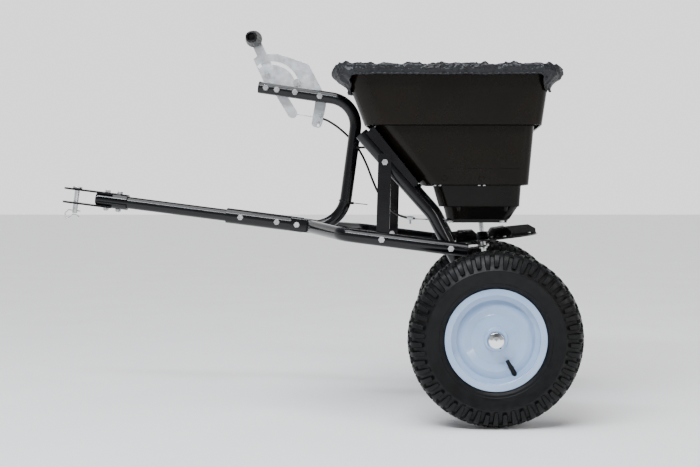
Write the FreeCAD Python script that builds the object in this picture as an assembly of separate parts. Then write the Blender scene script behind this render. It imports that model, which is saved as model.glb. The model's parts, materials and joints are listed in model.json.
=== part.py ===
import FreeCAD, Part
import math
import os

from FreeCAD import Vector

# Tow-behind broadcast spreader. Millimetres, +Z up, the hitch points to -X and the left side is -Y.
# The origin is on the ground, under the middle of the object's box.

# Wheels and axle
AXLE_X = 443.2
WHEEL_R = 200.0
WHEEL_Y = 320.0
AXLE_R = 8.0
RUNNING = 0.05
CLEAR = 0.2
HUB_R = 16.0
BEAD_R = 103.0

# Frame: one sloping plane holds the tongue, the sleeve and the two side tubes
FRAME_SLOPE_DEG = 7.32
FRAME_Z = 444.4
TUBE_R = 16.0
TUBE_WALL = 1.8
HANDLE_R = 15.0
TONGUE_R = 15.0
SLEEVE_R = 19.0
TONGUE_START = -557.0
TONGUE_END = -150.0
SLEEVE_START = -227.0
SLEEVE_END = -34.0
SIDE_Y = 237.0
SIDE_REAR_X = 380.0
SPREAD_START_X = -8.0
SPREAD_END_X = 92.0
TAB_Y = 22.5
TAB_HALF_THICK = 3.5
TAB_HALF_TALL = 17.0
TAB_BOLT_X = -46.0
TAB_START_X = -62.0
LEG_Y = 200.0
LEG_TOP = (131.0, 669.0)
LEG_KNEE = (299.0, 479.5)
LEG_KNEE_R = 90.0
LEG_BOLT = (342.0, 400.2)
UPRIGHT_THICK = 5.0
SUPPORT_THICK = 3.0
SUPPORT_INNER_Y = 142.0
SUPPORT_BOLTS_AT = (28.0, 160.0)
BIN_BOLT_Y = 152.0
UPRIGHT_WIDTH = 31.0

# Hitch
PLATE_TIP = -645.8
PLATE_THICK = 4.5
PLATE_HALF_WIDTH = 20.0
SADDLE_END = -482.0
HITCH_HOLE_S = -613.0
PIN_R = 6.35
PIN_FIT = 0.15
CLIP_WIRE_R = 1.5
CLIP_DROP = -37.0

# Bolts: M8, hexagon 13 mm
BOLT_R = 4.0
HEX_FLATS = 13.0
HEX_TALL = 5.5

# Handle tube corners, all in the middle plane
HANDLE_LOW = (64.5, 436.1)
HANDLE_HIGH = (108.0, 761.0)
HANDLE_TIP = (-144.0, 798.6)
HANDLE_START_X = -140.0
LOW_BEND_R = 84.0
HIGH_BEND_R = 70.0

# Control plate and lever
PIVOT = (-97.9, 790.7)
SLOT_CENTRE = (-115.2, 795.3)
SLOT_R = 66.5
SLOT_HALF_WIDTH = 4.2
SLOT_FROM_DEG = 13.8
SLOT_TO_DEG = 119.0
CONTROL_PLATE_Y = 15.2
CONTROL_PLATE_THICK = 3.0
LEVER_Y = 18.7
LEVER_THICK = 4.0
LEVER_HALF_WIDTH = 12.0
KNOB_CENTRE = (-159.5, 921.9)
LEVER_HOLE = (-63.4, 733.4)
CABLE_Y = 30.0
CABLE_R = 2.8
WIRE_R = 1.0

# Hopper tiers: height, front, rear, half width, front and rear corner radius
WALL = 4.0
HOPPER_TOP = 820.0
TIERS = [
    ((820.0, 87.0, 576.0, 244.0, 52.0, 34.0), (690.0, 136.0, 557.0, 229.0, 50.0, 32.0)),
    ((694.0, 154.0, 540.0, 213.0, 48.0, 30.0), (549.0, 270.0, 527.0, 201.0, 44.0, 28.0)),
    ((553.0, 296.0, 512.0, 156.0, 30.0, 24.0), (497.0, 312.0, 508.0, 148.0, 26.0, 22.0)),
    ((501.0, 322.0, 508.0, 130.0, 26.0, 22.0), (466.0, 331.0, 485.0, 114.0, 22.0, 22.0)),
]
LEDGE_Z = TIERS[1][1][0]
RIM_LIP = 18.0
RIM_THICK = 6.0
BASE_THICK = 3.5
GATE_THICK = 3.0
GATE_GAP = 0.4
GATE_TRAVEL = 50.0
OUTLET_HALF = 20.0

# Impeller shaft: leans forward, its line meets the axle's line at right angles
SHAFT_LEAN_DEG = 5.7
SHAFT_R = 6.0
SHAFT_BOTTOM = 36.0
SHAFT_TOP = 334.0
DISC_AT = 214.0
DISC_R = 140.0
DISC_THICK = 3.0
VANE_TALL = 24.0
VANE_COUNT = 6
CROSS_PLATE_AT = 196.0

# Bevel gears share the axle's centre as apex
MODULE = 2.5
DRIVE_TEETH = 40
PINION_TEETH = 12
FACE_WIDTH = 12.0
ADDENDUM = 1.9
DEDENDUM = 3.0
TIP_HALF = 0.55
ROOT_HALF = 2.1
RIM_BEYOND_TEETH = 0.7

COVER_GAP = 1.5
COVER_THICK = 4.0
COVER_TOP = 829.0
COVER_HEM = 804.0


# ---------------------------------------------------------------- helpers

def save(name, shape):
    """Write one named piece to its own file."""
    shape.exportStep("parts/" + name + ".step")


def join(shapes):
    """Fuse several overlapping or touching solids into one."""
    whole = shapes[0].multiFuse(shapes[1:])
    return whole.removeSplitter()


def rod(start, end, radius):
    return Part.makeCylinder(radius, (end - start).Length, start, end - start)


def block(x0, x1, y0, y1, z0, z1):
    return Part.makeBox(x1 - x0, y1 - y0, z1 - z0, Vector(x0, y0, z0))


def hexagon(centre, direction, tall, flats=HEX_FLATS):
    """Hexagonal prism standing on centre, along direction."""
    corner_r = flats / math.sqrt(3)
    corners = []
    for step in range(7):
        turn = math.radians(60 * step)
        corners.append(Vector(corner_r * math.cos(turn), corner_r * math.sin(turn), 0))
    prism = Part.Face(Part.makePolygon(corners)).extrude(Vector(0, 0, tall))
    prism.Placement = FreeCAD.Placement(centre, FreeCAD.Rotation(Vector(0, 0, 1), direction))
    return prism


def bolt(head, tail, radius=BOLT_R, flats=HEX_FLATS, tall=HEX_TALL):
    """Bolt with its head under face at head, its nut on the face at tail."""
    along = (tail - head).normalize()
    shank = rod(head - along * tall, tail + along * (tall + 2), radius)
    cap = hexagon(head - along * tall, along, tall, flats)
    nut = hexagon(tail, along, tall, flats)
    return join([shank, cap, nut])


def bore(head, tail, radius=BOLT_R, clear=CLEAR, extra=30.0):
    """Cylinder to cut for a bolt, longer than the stack it passes."""
    along = (tail - head).normalize()
    return rod(head - along * extra, tail + along * extra, radius + clear)


def bent_path(points, bends):
    """Straight runs joined by tangent arcs, one radius per inner point."""
    edges = []
    start = points[0]
    for before, corner, after, bend in zip(points, points[1:], points[2:], bends):
        come = (corner - before).normalize()
        go = (after - corner).normalize()
        half = come.getAngle(go) / 2
        setback = bend * math.tan(half)
        arc_in = corner - come * setback
        arc_out = corner + go * setback
        inward = (go - come).normalize()
        middle = corner + inward * (bend / math.cos(half) - bend)
        edges.append(Part.LineSegment(start, arc_in).toShape())
        edges.append(Part.Arc(arc_in, middle, arc_out).toShape())
        start = arc_out
    edges.append(Part.LineSegment(start, points[-1]).toShape())
    return Part.Wire(edges)


def natural_bends(points):
    """The largest comfortable radius at each inner point of a cable's route."""
    bends = []
    for before, corner, after in zip(points, points[1:], points[2:]):
        turn = (corner - before).getAngle(after - corner)
        shorter = min((corner - before).Length, (after - corner).Length)
        bends.append(0.45 * shorter / math.tan(turn / 2))
    return bends


def round_sweep(path, radius):
    first = path.OrderedEdges[0]
    heading = first.tangentAt(first.FirstParameter)
    ring = Part.Wire(Part.Circle(path.OrderedVertexes[0].Point, heading, radius).toShape())
    return path.makePipeShell([ring], True, False)


def hollow_tube(path, radius, wall=TUBE_WALL):
    return round_sweep(path, radius).cut(round_sweep(path, radius - wall))


def frame_point(x, y=0.0):
    """Point of the frame's sloping plane above ground position x, y."""
    return Vector(x, y, FRAME_Z - math.tan(math.radians(FRAME_SLOPE_DEG)) * x)


def to_frame(shape):
    """Place a shape drawn level, x along the tongue, on the sloping plane."""
    slope = FreeCAD.Rotation(Vector(0, 1, 0), FRAME_SLOPE_DEG)
    shape.Placement = FreeCAD.Placement(Vector(0, 0, FRAME_Z), slope).multiply(shape.Placement)
    return shape


def to_shaft(shape):
    """Place a shape drawn upright about the origin on the leaning shaft line."""
    lean = FreeCAD.Rotation(Vector(0, 1, 0), -SHAFT_LEAN_DEG)
    shape.Placement = FreeCAD.Placement(Vector(AXLE_X, 0, WHEEL_R), lean).multiply(shape.Placement)
    return shape


def to_wheel(shape, side):
    """Place a wheel piece drawn about the Y axis with its outside at -Y; side is -1 left, +1 right."""
    if side > 0:
        shape = shape.mirror(Vector(0, 0, 0), Vector(0, 1, 0))
    shape.translate(Vector(AXLE_X, side * WHEEL_Y, WHEEL_R))
    return shape


def flat_outline(points, y, thick):
    """Plate in an XZ plane from x, z corner points."""
    corners = [Vector(x, y, z) for x, z in points]
    corners.append(corners[0])
    return Part.Face(Part.makePolygon(corners)).extrude(Vector(0, thick, 0))


def turned(points):
    """Solid turned about the Y axis from y, radius corner points."""
    corners = [Vector(0, y, radius) for y, radius in points]
    corners.append(corners[0])
    return Part.Face(Part.makePolygon(corners)).revolve(Vector(0, 0, 0), Vector(0, 1, 0), 360)


def rounded_loop(height, front, rear, half_y, front_r, rear_r):
    """Level rounded rectangle as one wire, starting at the front left corner."""
    bulge = 1 - math.sqrt(0.5)
    corners = [(front, -half_y, front_r, 1, 1), (rear, -half_y, rear_r, -1, 1),
               (rear, half_y, rear_r, -1, -1), (front, half_y, front_r, 1, -1)]
    edges = []
    entry_x = [0, 1, 0, 1]
    last = None
    first = None
    for index, (x, y, r, dx, dy) in enumerate(corners):
        along_x = Vector(x + dx * r, y, height)
        along_y = Vector(x, y + dy * r, height)
        middle = Vector(x + dx * r * bulge, y + dy * r * bulge, height)
        begin, finish = (along_x, along_y) if entry_x[index] else (along_y, along_x)
        if last is not None:
            edges.append(Part.LineSegment(last, begin).toShape())
        else:
            first = begin
        edges.append(Part.Arc(begin, middle, finish).toShape())
        last = finish
    edges.append(Part.LineSegment(last, first).toShape())
    return Part.Wire(edges)


def rounded_loft(upper, lower, inset=0.0):
    """Solid between two level rounded rectangles, all walls moved in by inset."""
    loops = []
    for height, front, rear, half_y, front_r, rear_r in (upper, lower):
        loops.append(rounded_loop(height, front + inset, rear - inset, half_y - inset,
                                  front_r - inset, rear_r - inset))
    return Part.makeLoft(loops, True, True)


# ---------------------------------------------------------------- bolt lines

def hitch_bolt_lines():
    """Two bolts through the saddles and the tongue, in level frame coordinates."""
    reach = TONGUE_R + PLATE_THICK + 0.2
    return [(Vector(s, 0, reach), Vector(s, 0, -reach)) for s in (-536.0, -505.0)]


def tongue_bolt_lines():
    """Bolts across the sleeve, then the one that holds the side tubes' flat ends."""
    lines = []
    for x in (-189.0, -97.4):
        lines.append((frame_point(x, -SLEEVE_R - 0.2), frame_point(x, SLEEVE_R + 0.2)))
    reach = TAB_Y + TAB_HALF_THICK
    lines.append((frame_point(TAB_BOLT_X, -reach), frame_point(TAB_BOLT_X, reach)))
    return lines


def side_bolt_lines(side):
    """Upright to leg, upright to side tube, and leg to side tube."""
    leg_inner = side * (LEG_Y - TUBE_R)
    upright_outer = side * (LEG_Y + TUBE_R + UPRIGHT_THICK)
    tube_outer = side * (SIDE_Y + TUBE_R)
    top = (Vector(186.8, upright_outer, 602.0), Vector(186.8, leg_inner, 602.0))
    foot = (frame_point(181.0, tube_outer), frame_point(181.0, side * (LEG_Y + TUBE_R)))
    leg = (Vector(LEG_BOLT[0], tube_outer, LEG_BOLT[1]), Vector(LEG_BOLT[0], leg_inner, LEG_BOLT[1]))
    return [top, foot, leg]


def leg_top(side):
    return Vector(LEG_TOP[0], side * LEG_Y, LEG_TOP[1])


def leg_direction():
    """Unit direction of the leg's upper run, down and to the rear."""
    return Vector(LEG_KNEE[0] - LEG_TOP[0], 0, LEG_KNEE[1] - LEG_TOP[1]).normalize()


def leg_frame():
    """Leg's top point in the middle plane, its downward direction and its upward normal."""
    down = leg_direction()
    return leg_top(0), down, Vector(-down.z, 0, down.x)


def slope_height(distance):
    """Height of the bin's front slope above the leg's centre line, at a distance down the leg."""
    top, down, up = leg_frame()
    upper, lower = TIERS[1]
    high = Vector(upper[1], 0, upper[0]) - top
    low = Vector(lower[1], 0, lower[0]) - top
    share = (distance - high.dot(down)) / (low.dot(down) - high.dot(down))
    return high.dot(up) + share * (low.dot(up) - high.dot(up))


def bin_bolt_lines(side):
    """Two bolts that hold the bin's front slope to the support angle."""
    top, down, up = leg_frame()
    lines = []
    for distance in SUPPORT_BOLTS_AT:
        centre = top + down * distance + Vector(0, side * BIN_BOLT_Y, 0)
        height = slope_height(distance)
        lines.append((centre + up * (height + WALL + 0.8), centre + up * (height - SUPPORT_THICK - 0.7)))
    return lines


def control_bolt_lines():
    """Bolts that hold the control plate to the handle tube."""
    near = -HANDLE_R - 0.2
    far = CONTROL_PLATE_Y + CONTROL_PLATE_THICK
    spots = [(-125.6, 795.8), (-52.0, 784.6)]
    lines = [(Vector(x, near, z), Vector(x, far, z)) for x, z in spots]
    bracket_far = far + 2.5
    lines.append((Vector(10.5, near, 774.5), Vector(10.5, bracket_far, 774.5)))
    return lines


def pivot_line():
    far = LEVER_Y + LEVER_THICK + 0.3
    return (Vector(PIVOT[0], -HANDLE_R - 0.2, PIVOT[1]), Vector(PIVOT[0], far, PIVOT[1]))


def cut_bores(shape, lines, radius=BOLT_R, extra=30.0):
    for head, tail in lines:
        shape = shape.cut(bore(head, tail, radius, CLEAR, extra))
    return shape


# ---------------------------------------------------------------- frame and hitch

def tongue_tube():
    tube = hollow_tube(bent_path([frame_point(TONGUE_START), frame_point(TONGUE_END)], []), TONGUE_R)
    level = [to_frame(bore(head, tail)) for head, tail in hitch_bolt_lines()]
    for cut in level:
        tube = tube.cut(cut)
    return cut_bores(tube, tongue_bolt_lines()[:1])


def tongue_sleeve():
    """Joining sleeve: the tongue enters it from the front and the handle tube from the rear."""
    start = frame_point(SLEEVE_START)
    end = frame_point(SLEEVE_END)
    sleeve = rod(start, end, SLEEVE_R)
    sleeve = sleeve.cut(rod(frame_point(SLEEVE_START - 5), frame_point(SLEEVE_END + 5), TONGUE_R + 0.1))
    return cut_bores(sleeve, tongue_bolt_lines())


def hitch_plate(side):
    """Flat ear with a pin hole, formed at its rear into a saddle over the tongue; side +1 is above."""
    low = side * TONGUE_R
    high = side * (TONGUE_R + PLATE_THICK)
    z0, z1 = min(low, high), max(low, high)
    ear = block(PLATE_TIP + PLATE_HALF_WIDTH, -520.0, -PLATE_HALF_WIDTH, PLATE_HALF_WIDTH, z0, z1)
    nose = Part.makeCylinder(PLATE_HALF_WIDTH, PLATE_THICK, Vector(PLATE_TIP + PLATE_HALF_WIDTH, 0, z0))
    saddle = rod(Vector(-556, 0, 0), Vector(SADDLE_END, 0, 0), TONGUE_R + PLATE_THICK)
    above = block(-560, SADDLE_END + 5, -25, 25, 7.0, 25) if side > 0 else block(-560, SADDLE_END + 5, -25, 25, -25, -7.0)
    saddle = saddle.common(above)
    plate = join([ear, nose, saddle])
    plate = plate.cut(rod(Vector(TONGUE_START - 5, 0, 0), Vector(SADDLE_END + 9, 0, 0), TONGUE_R + 0.05))
    pin_hole = rod(Vector(HITCH_HOLE_S, 0, -40), Vector(HITCH_HOLE_S, 0, 40), PIN_R + PIN_FIT)
    plate = plate.cut(pin_hole)
    return to_frame(cut_bores(plate, hitch_bolt_lines()))


def hitch_bolts():
    return Part.makeCompound([to_frame(bolt(head, tail)) for head, tail in hitch_bolt_lines()])


def hitch_pin():
    """Plain pin with a round head, standing through both ears."""
    head_z = TONGUE_R + PLATE_THICK + 0.1
    centre_x = HITCH_HOLE_S
    shank = rod(Vector(centre_x, 0, -43), Vector(centre_x, 0, head_z + 3), PIN_R)
    head = Part.makeCylinder(12.0, 4.5, Vector(centre_x, 0, head_z))
    head = head.makeFillet(1.5, [head.Edges[0], head.Edges[2]]) if len(head.Edges) > 2 else head
    clip_hole = rod(Vector(centre_x - 20, 0, CLIP_DROP), Vector(centre_x + 20, 0, CLIP_DROP), CLIP_WIRE_R + 0.1)
    return to_frame(join([shank, head]).cut(clip_hole))


def hairpin_clip():
    """Spring clip of round wire: a straight leg through the pin, a loop, and an outer leg below."""
    x = HITCH_HOLE_S
    z = CLIP_DROP
    points = [Vector(x + 14, 0, z), Vector(x - 16, 0, z), Vector(x - 24, 0, z - 10),
              Vector(x - 19, 0, z - 25), Vector(x - 9, 0, z - 17), Vector(x - 3, -1.0, z - 9.5),
              Vector(x + 5, -1.0, z - 9.5), Vector(x + 13, 0, z - 15)]
    clip = round_sweep(bent_path(points, [4.5, 5.0, 5.0, 4.0, 3.5, 4.0]), CLIP_WIRE_R)
    return to_frame(clip)


def handle_tube():
    """S-shaped tube: out of the sleeve, up in front of the hopper, then forward to the controls."""
    points = [frame_point(HANDLE_START_X), Vector(HANDLE_LOW[0], 0, HANDLE_LOW[1]),
              Vector(HANDLE_HIGH[0], 0, HANDLE_HIGH[1]), Vector(HANDLE_TIP[0], 0, HANDLE_TIP[1])]
    tube = hollow_tube(bent_path(points, [LOW_BEND_R, HIGH_BEND_R]), HANDLE_R)
    tube = cut_bores(tube, tongue_bolt_lines()[1:])
    return cut_bores(tube, control_bolt_lines() + [pivot_line()])


def handle_frame():
    """The handle tube's lower corner, its upward direction and the direction behind it."""
    up = Vector(HANDLE_HIGH[0] - HANDLE_LOW[0], 0, HANDLE_HIGH[1] - HANDLE_LOW[1]).normalize()
    return Vector(HANDLE_LOW[0], 0, HANDLE_LOW[1]), up, Vector(up.z, 0, -up.x)


def handle_crossbar():
    """Flat bar welded between the legs, with a strap from its middle to the back of the handle tube."""
    top, down, _ = leg_frame()
    turn = math.degrees(math.atan2(-down.z, down.x))
    half = LEG_Y - TUBE_R - 0.1
    bar = block(16.0, 46.0, -half, half, -2.0, 2.0)
    bar.Placement = FreeCAD.Placement(top, FreeCAD.Rotation(Vector(0, 1, 0), turn))
    strap = block(98.0, 152.0, -12.0, 12.0, 643.0, 648.0)
    high = Vector(HANDLE_HIGH[0], 0, HANDLE_HIGH[1])
    low = Vector(HANDLE_LOW[0], 0, HANDLE_LOW[1])
    strap = strap.cut(rod(low, high, HANDLE_R + 0.05))
    rear = [solid for solid in strap.Solids if solid.CenterOfMass.x > HANDLE_HIGH[0]]
    return join([bar] + rear)


def flat_end(start, end):
    """Crushed tube end: a flat oval run that widens its thickness into the round tube."""
    along = (end - start).normalize()
    tall = Vector(-along.z, 0, along.x).normalize() * TAB_HALF_TALL
    oval = Part.Ellipse(start + tall, start + along.cross(tall).normalize() * TAB_HALF_THICK, start)
    return Part.Face(Part.Wire(oval.toShape())).extrude(end - start)


def frame_tube(side):
    """Side tube: flat end on the sleeve, a run outward, then straight back past the leg."""
    flat_start = frame_point(TAB_START_X, side * TAB_Y)
    flat_stop = frame_point(SPREAD_START_X - 14.0, side * TAB_Y)
    spread_start = frame_point(SPREAD_START_X + 8.0, side * (TAB_Y + 30.0))
    points = [spread_start, frame_point(SPREAD_END_X, side * SIDE_Y),
              frame_point(SIDE_REAR_X, side * SIDE_Y)]
    path = bent_path(points, [42.0])
    tube = hollow_tube(path, TUBE_R)
    flat = flat_end(flat_start, flat_stop)
    tall = Vector(0, 0, 1)
    heading = (points[1] - points[0]).normalize()
    ring = Part.Wire(Part.Circle(spread_start, heading, TUBE_R).toShape())
    along = (flat_stop - flat_start).normalize()
    upward = Vector(-along.z, 0, along.x)
    if upward.z < 0:
        upward = upward * -1
    across = along.cross(upward).normalize()
    oval = Part.Ellipse(flat_stop + upward * TAB_HALF_TALL, flat_stop + across * TAB_HALF_THICK, flat_stop)
    neck = Part.makeLoft([Part.Wire(oval.toShape()), ring], True, False)
    tube = join([flat, neck, tube])
    tube = cut_bores(tube, tongue_bolt_lines()[2:])
    return cut_bores(tube, side_bolt_lines(side)[1:])


def leg_tube(side):
    """Leg: carries the hopper on its upper run and the axle at its foot."""
    y = side * LEG_Y
    knee = Vector(LEG_KNEE[0], y, LEG_KNEE[1])
    axle = Vector(AXLE_X, y, WHEEL_R)
    foot = axle + (axle - knee).normalize() * 22.0
    tube = hollow_tube(bent_path([leg_top(side), knee, foot], [LEG_KNEE_R]), TUBE_R)
    top, _, leg = side_bolt_lines(side)
    tube = cut_bores(tube, [top, leg])
    bush_hole = rod(Vector(AXLE_X, y - 30, WHEEL_R), Vector(AXLE_X, y + 30, WHEEL_R), 12.0)
    return tube.cut(bush_hole)


def upright(side):
    """Flat bar that ties the leg to the side tube."""
    inner = side * (LEG_Y + TUBE_R)
    outer = side * (LEG_Y + TUBE_R + UPRIGHT_THICK)
    y0 = min(inner, outer)
    half = UPRIGHT_WIDTH / 2
    bar = flat_outline([(181.0 - half, 411.0), (181.0 + half, 411.0), (186.8 + half, 622.0),
                        (186.8 - half, 622.0)], y0, UPRIGHT_THICK)
    return cut_bores(bar, side_bolt_lines(side)[:2])


def hopper_support(side):
    """Angle welded along the leg: a flange under the bin's slope and a web standing on the tube."""
    top, down, _ = leg_frame()
    turn = math.degrees(math.atan2(-down.z, down.x))
    start, end = 6.0, 176.0
    high, low = slope_height(start) - 0.2, slope_height(end) - 0.2
    flange_y = sorted((side * SUPPORT_INNER_Y, side * (LEG_Y + TUBE_R - 0.2)))
    web_y = sorted((side * (LEG_Y + TUBE_R - 3.2), side * (LEG_Y + TUBE_R - 0.2)))
    flange = flat_outline([(start, high), (end, low), (end, low - SUPPORT_THICK), (start, high - SUPPORT_THICK)],
                          flange_y[0], flange_y[1] - flange_y[0])
    web = flat_outline([(start, high), (end, low), (end, 9.0), (start, 9.0)], web_y[0], 3.0)
    angle = join([flange, web])
    angle = angle.cut(rod(Vector(-20, side * LEG_Y, 0), Vector(220, side * LEG_Y, 0), TUBE_R + 0.1))
    angle.Placement = FreeCAD.Placement(top, FreeCAD.Rotation(Vector(0, 1, 0), turn))
    return cut_bores(angle, bin_bolt_lines(side))


def cross_plate():
    """Plate between the side tubes that carries the shaft's lower bush."""
    outline = [(-112, -140), (-60, -182), (-60, -219.6), (-41, -219.6), (-41, -76), (7, -32),
               (15, 0), (7, 32), (-41, 76), (-41, 219.6), (-60, 219.6), (-60, 182), (-112, 140)]
    corners = [Vector(x, y, CROSS_PLATE_AT) for x, y in outline]
    corners.append(corners[0])
    plate = Part.Face(Part.makePolygon(corners)).extrude(Vector(0, 0, 4.0))
    plate = plate.cut(Part.makeCylinder(10.0, 60, Vector(0, 0, CROSS_PLATE_AT - 30)))
    for y in (-22.0, 22.0):
        plate = plate.cut(Part.makeCylinder(3.2, 60, Vector(0, y, CROSS_PLATE_AT - 30)))
    return to_shaft(plate)


def frame_bolts():
    """Bolts at the uprights and legs on both sides, with the leg's spacer rings."""
    solids = []
    for side in (-1, 1):
        for head, tail in side_bolt_lines(side):
            solids.append(bolt(head, tail))
    for side in (-1, 1):
        inner = Vector(LEG_BOLT[0], side * (LEG_Y + TUBE_R), LEG_BOLT[1])
        outer = Vector(LEG_BOLT[0], side * (SIDE_Y - TUBE_R), LEG_BOLT[1])
        solids.append(rod(inner, outer, 9.0).cut(rod(inner, outer, BOLT_R + CLEAR)))
    return Part.makeCompound(solids)


def tongue_bolts():
    return Part.makeCompound([bolt(head, tail) for head, tail in tongue_bolt_lines()])


def tube_plugs():
    """Push-in plastic plugs: handle tip and the rear ends of both side tubes."""
    tip = Vector(HANDLE_TIP[0], 0, HANDLE_TIP[1])
    high = Vector(HANDLE_HIGH[0], 0, HANDLE_HIGH[1])
    ends = [(tip, (tip - high).normalize(), HANDLE_R)]
    rearward = (frame_point(100) - frame_point(0)).normalize()
    for side in (-1, 1):
        ends.append((frame_point(SIDE_REAR_X, side * SIDE_Y), rearward, TUBE_R))
        ends.append((leg_top(side), leg_direction() * -1, TUBE_R))
    solids = []
    for end, outward, radius in ends:
        plug = rod(end - outward * 10, end, radius - TUBE_WALL - 0.05)
        solids.append(join([plug, rod(end, end + outward * 1.8, radius - 0.4)]))
    return Part.makeCompound(solids)


# ---------------------------------------------------------------- controls

def swing_arc(radius, from_deg, to_deg):
    """Arc about the slot's centre, angles up from +X, as an edge in the XZ plane."""
    def at(angle):
        turn = math.radians(angle)
        return Vector(SLOT_CENTRE[0] + radius * math.cos(turn), 0, SLOT_CENTRE[1] + radius * math.sin(turn))
    return Part.Arc(at(from_deg), at((from_deg + to_deg) / 2), at(to_deg)).toShape()


def slot_cut():
    """Curved slot with round ends, as a solid to cut."""
    outer = swing_arc(SLOT_R + SLOT_HALF_WIDTH, SLOT_FROM_DEG, SLOT_TO_DEG)
    inner = swing_arc(SLOT_R - SLOT_HALF_WIDTH, SLOT_TO_DEG, SLOT_FROM_DEG)
    side_a = Part.LineSegment(outer.Vertexes[1].Point, inner.Vertexes[0].Point).toShape()
    side_b = Part.LineSegment(inner.Vertexes[1].Point, outer.Vertexes[0].Point).toShape()
    sector = Part.Face(Part.Wire([outer, side_a, inner, side_b])).extrude(Vector(0, 60, 0))
    ends = []
    for angle in (SLOT_FROM_DEG, SLOT_TO_DEG):
        turn = math.radians(angle)
        spot = Vector(SLOT_CENTRE[0] + SLOT_R * math.cos(turn), 0, SLOT_CENTRE[1] + SLOT_R * math.sin(turn))
        ends.append(rod(spot, spot + Vector(0, 60, 0), SLOT_HALF_WIDTH))
    return join([sector] + ends)


def control_plate():
    """Plate behind the handle tube with the curved slot for the stop bolt."""
    outline = [(-162.6, 871.5), (-149.4, 881.6), (-123.3, 885.2), (-98.7, 885.2), (-82.4, 880.0),
               (-26.3, 860.6), (-19.5, 855.0), (12.0, 794.6), (24.0, 765.0), (-132.0, 785.0),
               (-137.7, 818.2)]
    plate = flat_outline(outline, CONTROL_PLATE_Y, CONTROL_PLATE_THICK)
    plate = plate.cut(slot_cut())
    rivet_hole = rod(Vector(-125.8, 0, 830.1), Vector(-125.8, 40, 830.1), 4.05)
    return cut_bores(plate.cut(rivet_hole), control_bolt_lines() + [pivot_line()])


def control_bolts():
    """Plate bolts, the lever's pivot bolt and the rivet beside the slot."""
    solids = [bolt(head, tail) for head, tail in control_bolt_lines()]
    head, tail = pivot_line()
    solids.append(bolt(head, tail))
    spot = Vector(-125.8, CONTROL_PLATE_Y + CONTROL_PLATE_THICK, 830.1)
    rivet = rod(Vector(spot.x, CONTROL_PLATE_Y - 3, spot.z), spot, 4.0)
    solids.append(join([rivet, rod(Vector(spot.x, CONTROL_PLATE_Y - 3.5, spot.z),
                                   Vector(spot.x, CONTROL_PLATE_Y, spot.z), 7.5)]))
    return Part.makeCompound(solids)


def lever_points():
    """Lever's lower and upper ends, from the cable hole past the pivot to the knob."""
    low = Vector(LEVER_HOLE[0], LEVER_Y, LEVER_HOLE[1])
    high = Vector(KNOB_CENTRE[0], LEVER_Y, KNOB_CENTRE[1])
    return low, high


def flow_lever():
    """Flat bar bent slightly at the pivot, with a knob stud at the top and a cable pin below."""
    low, high = lever_points()
    pivot = Vector(PIVOT[0], LEVER_Y, PIVOT[1])
    parts = []
    for start, end in ((low, pivot), (pivot, high)):
        along = end - start
        bar = block(0, along.Length, 0, LEVER_THICK, -LEVER_HALF_WIDTH, LEVER_HALF_WIDTH)
        turn = -math.degrees(math.atan2(along.z, along.x))
        bar.Placement = FreeCAD.Placement(start, FreeCAD.Rotation(Vector(0, 1, 0), turn))
        parts.append(bar)
    for spot in (low, pivot, high):
        parts.append(rod(spot, spot + Vector(0, LEVER_THICK, 0), LEVER_HALF_WIDTH))
    cable_pin = rod(low, Vector(low.x, CABLE_Y + 5, low.z), 4.0)
    stud = rod(high + Vector(0, -28, 0), high + Vector(0, 1, 0), 5.0)
    lever = join(parts + [cable_pin, stud])
    return lever.cut(rod(pivot - Vector(0, 20, 0), pivot + Vector(0, 20, 0), BOLT_R + RUNNING))


def lever_knob():
    """Hollow-nosed knob on the stud, axis across the machine."""
    x, z = KNOB_CENTRE
    back = LEVER_Y - 0.3
    nose = -36.0
    wide = 4.0
    cone = Part.makeCone(14.5, 21.0, wide - nose, Vector(x, nose, z), Vector(0, 1, 0))
    skirt = Part.makeCone(21.0, 18.0, back - wide, Vector(x, wide, z), Vector(0, 1, 0))
    knob = join([cone, skirt])
    knob = knob.cut(rod(Vector(x, nose - 1, z), Vector(x, nose + 18, z), 10.0))
    return knob.cut(rod(Vector(x, LEVER_Y - 28.5, z), Vector(x, back + 1, z), 5.02))


def stop_bolt():
    """Bolt in the slot that limits the lever, with a knurled nut on the near side."""
    turn = math.radians(SLOT_FROM_DEG)
    x = SLOT_CENTRE[0] + SLOT_R * math.cos(turn)
    z = SLOT_CENTRE[1] + SLOT_R * math.sin(turn)
    near = CONTROL_PLATE_Y - 0.05
    far = CONTROL_PLATE_Y + CONTROL_PLATE_THICK + 0.05
    shank = rod(Vector(x, near - 12, z), Vector(x, far + 6, z), SLOT_HALF_WIDTH - 0.2)
    nut = rod(Vector(x, near - 9, z), Vector(x, near, z), 9.5)
    head = rod(Vector(x, far, z), Vector(x, far + 5.5, z), 8.0)
    return join([shank, nut, head])


def cable_bracket():
    """Galvanised strap behind the plate with an ear that holds the end of the cable's sheath."""
    y0 = CONTROL_PLATE_Y + CONTROL_PLATE_THICK
    strap = flat_outline([(-4.0, 784.0), (24.0, 780.0), (22.0, 752.0), (12.5, 706.0), (9.0, 699.0),
                          (3.0, 696.5), (-9.0, 699.0), (-14.5, 706.0), (-6.0, 755.0)], y0, 2.5)
    ear = block(2.5, 5.0, y0, CABLE_Y + 9, 711.0, 735.0)
    bracket = join([strap, ear])
    bracket = bracket.cut(rod(Vector(-10, CABLE_Y, 723.0), Vector(15, CABLE_Y, 723.0), WIRE_R + 0.6))
    bolt_hole = rod(Vector(2.6, 0, 703.0), Vector(2.6, 60, 703.0), 3.2)
    return cut_bores(bracket.cut(bolt_hole), control_bolt_lines()[2:])


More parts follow.
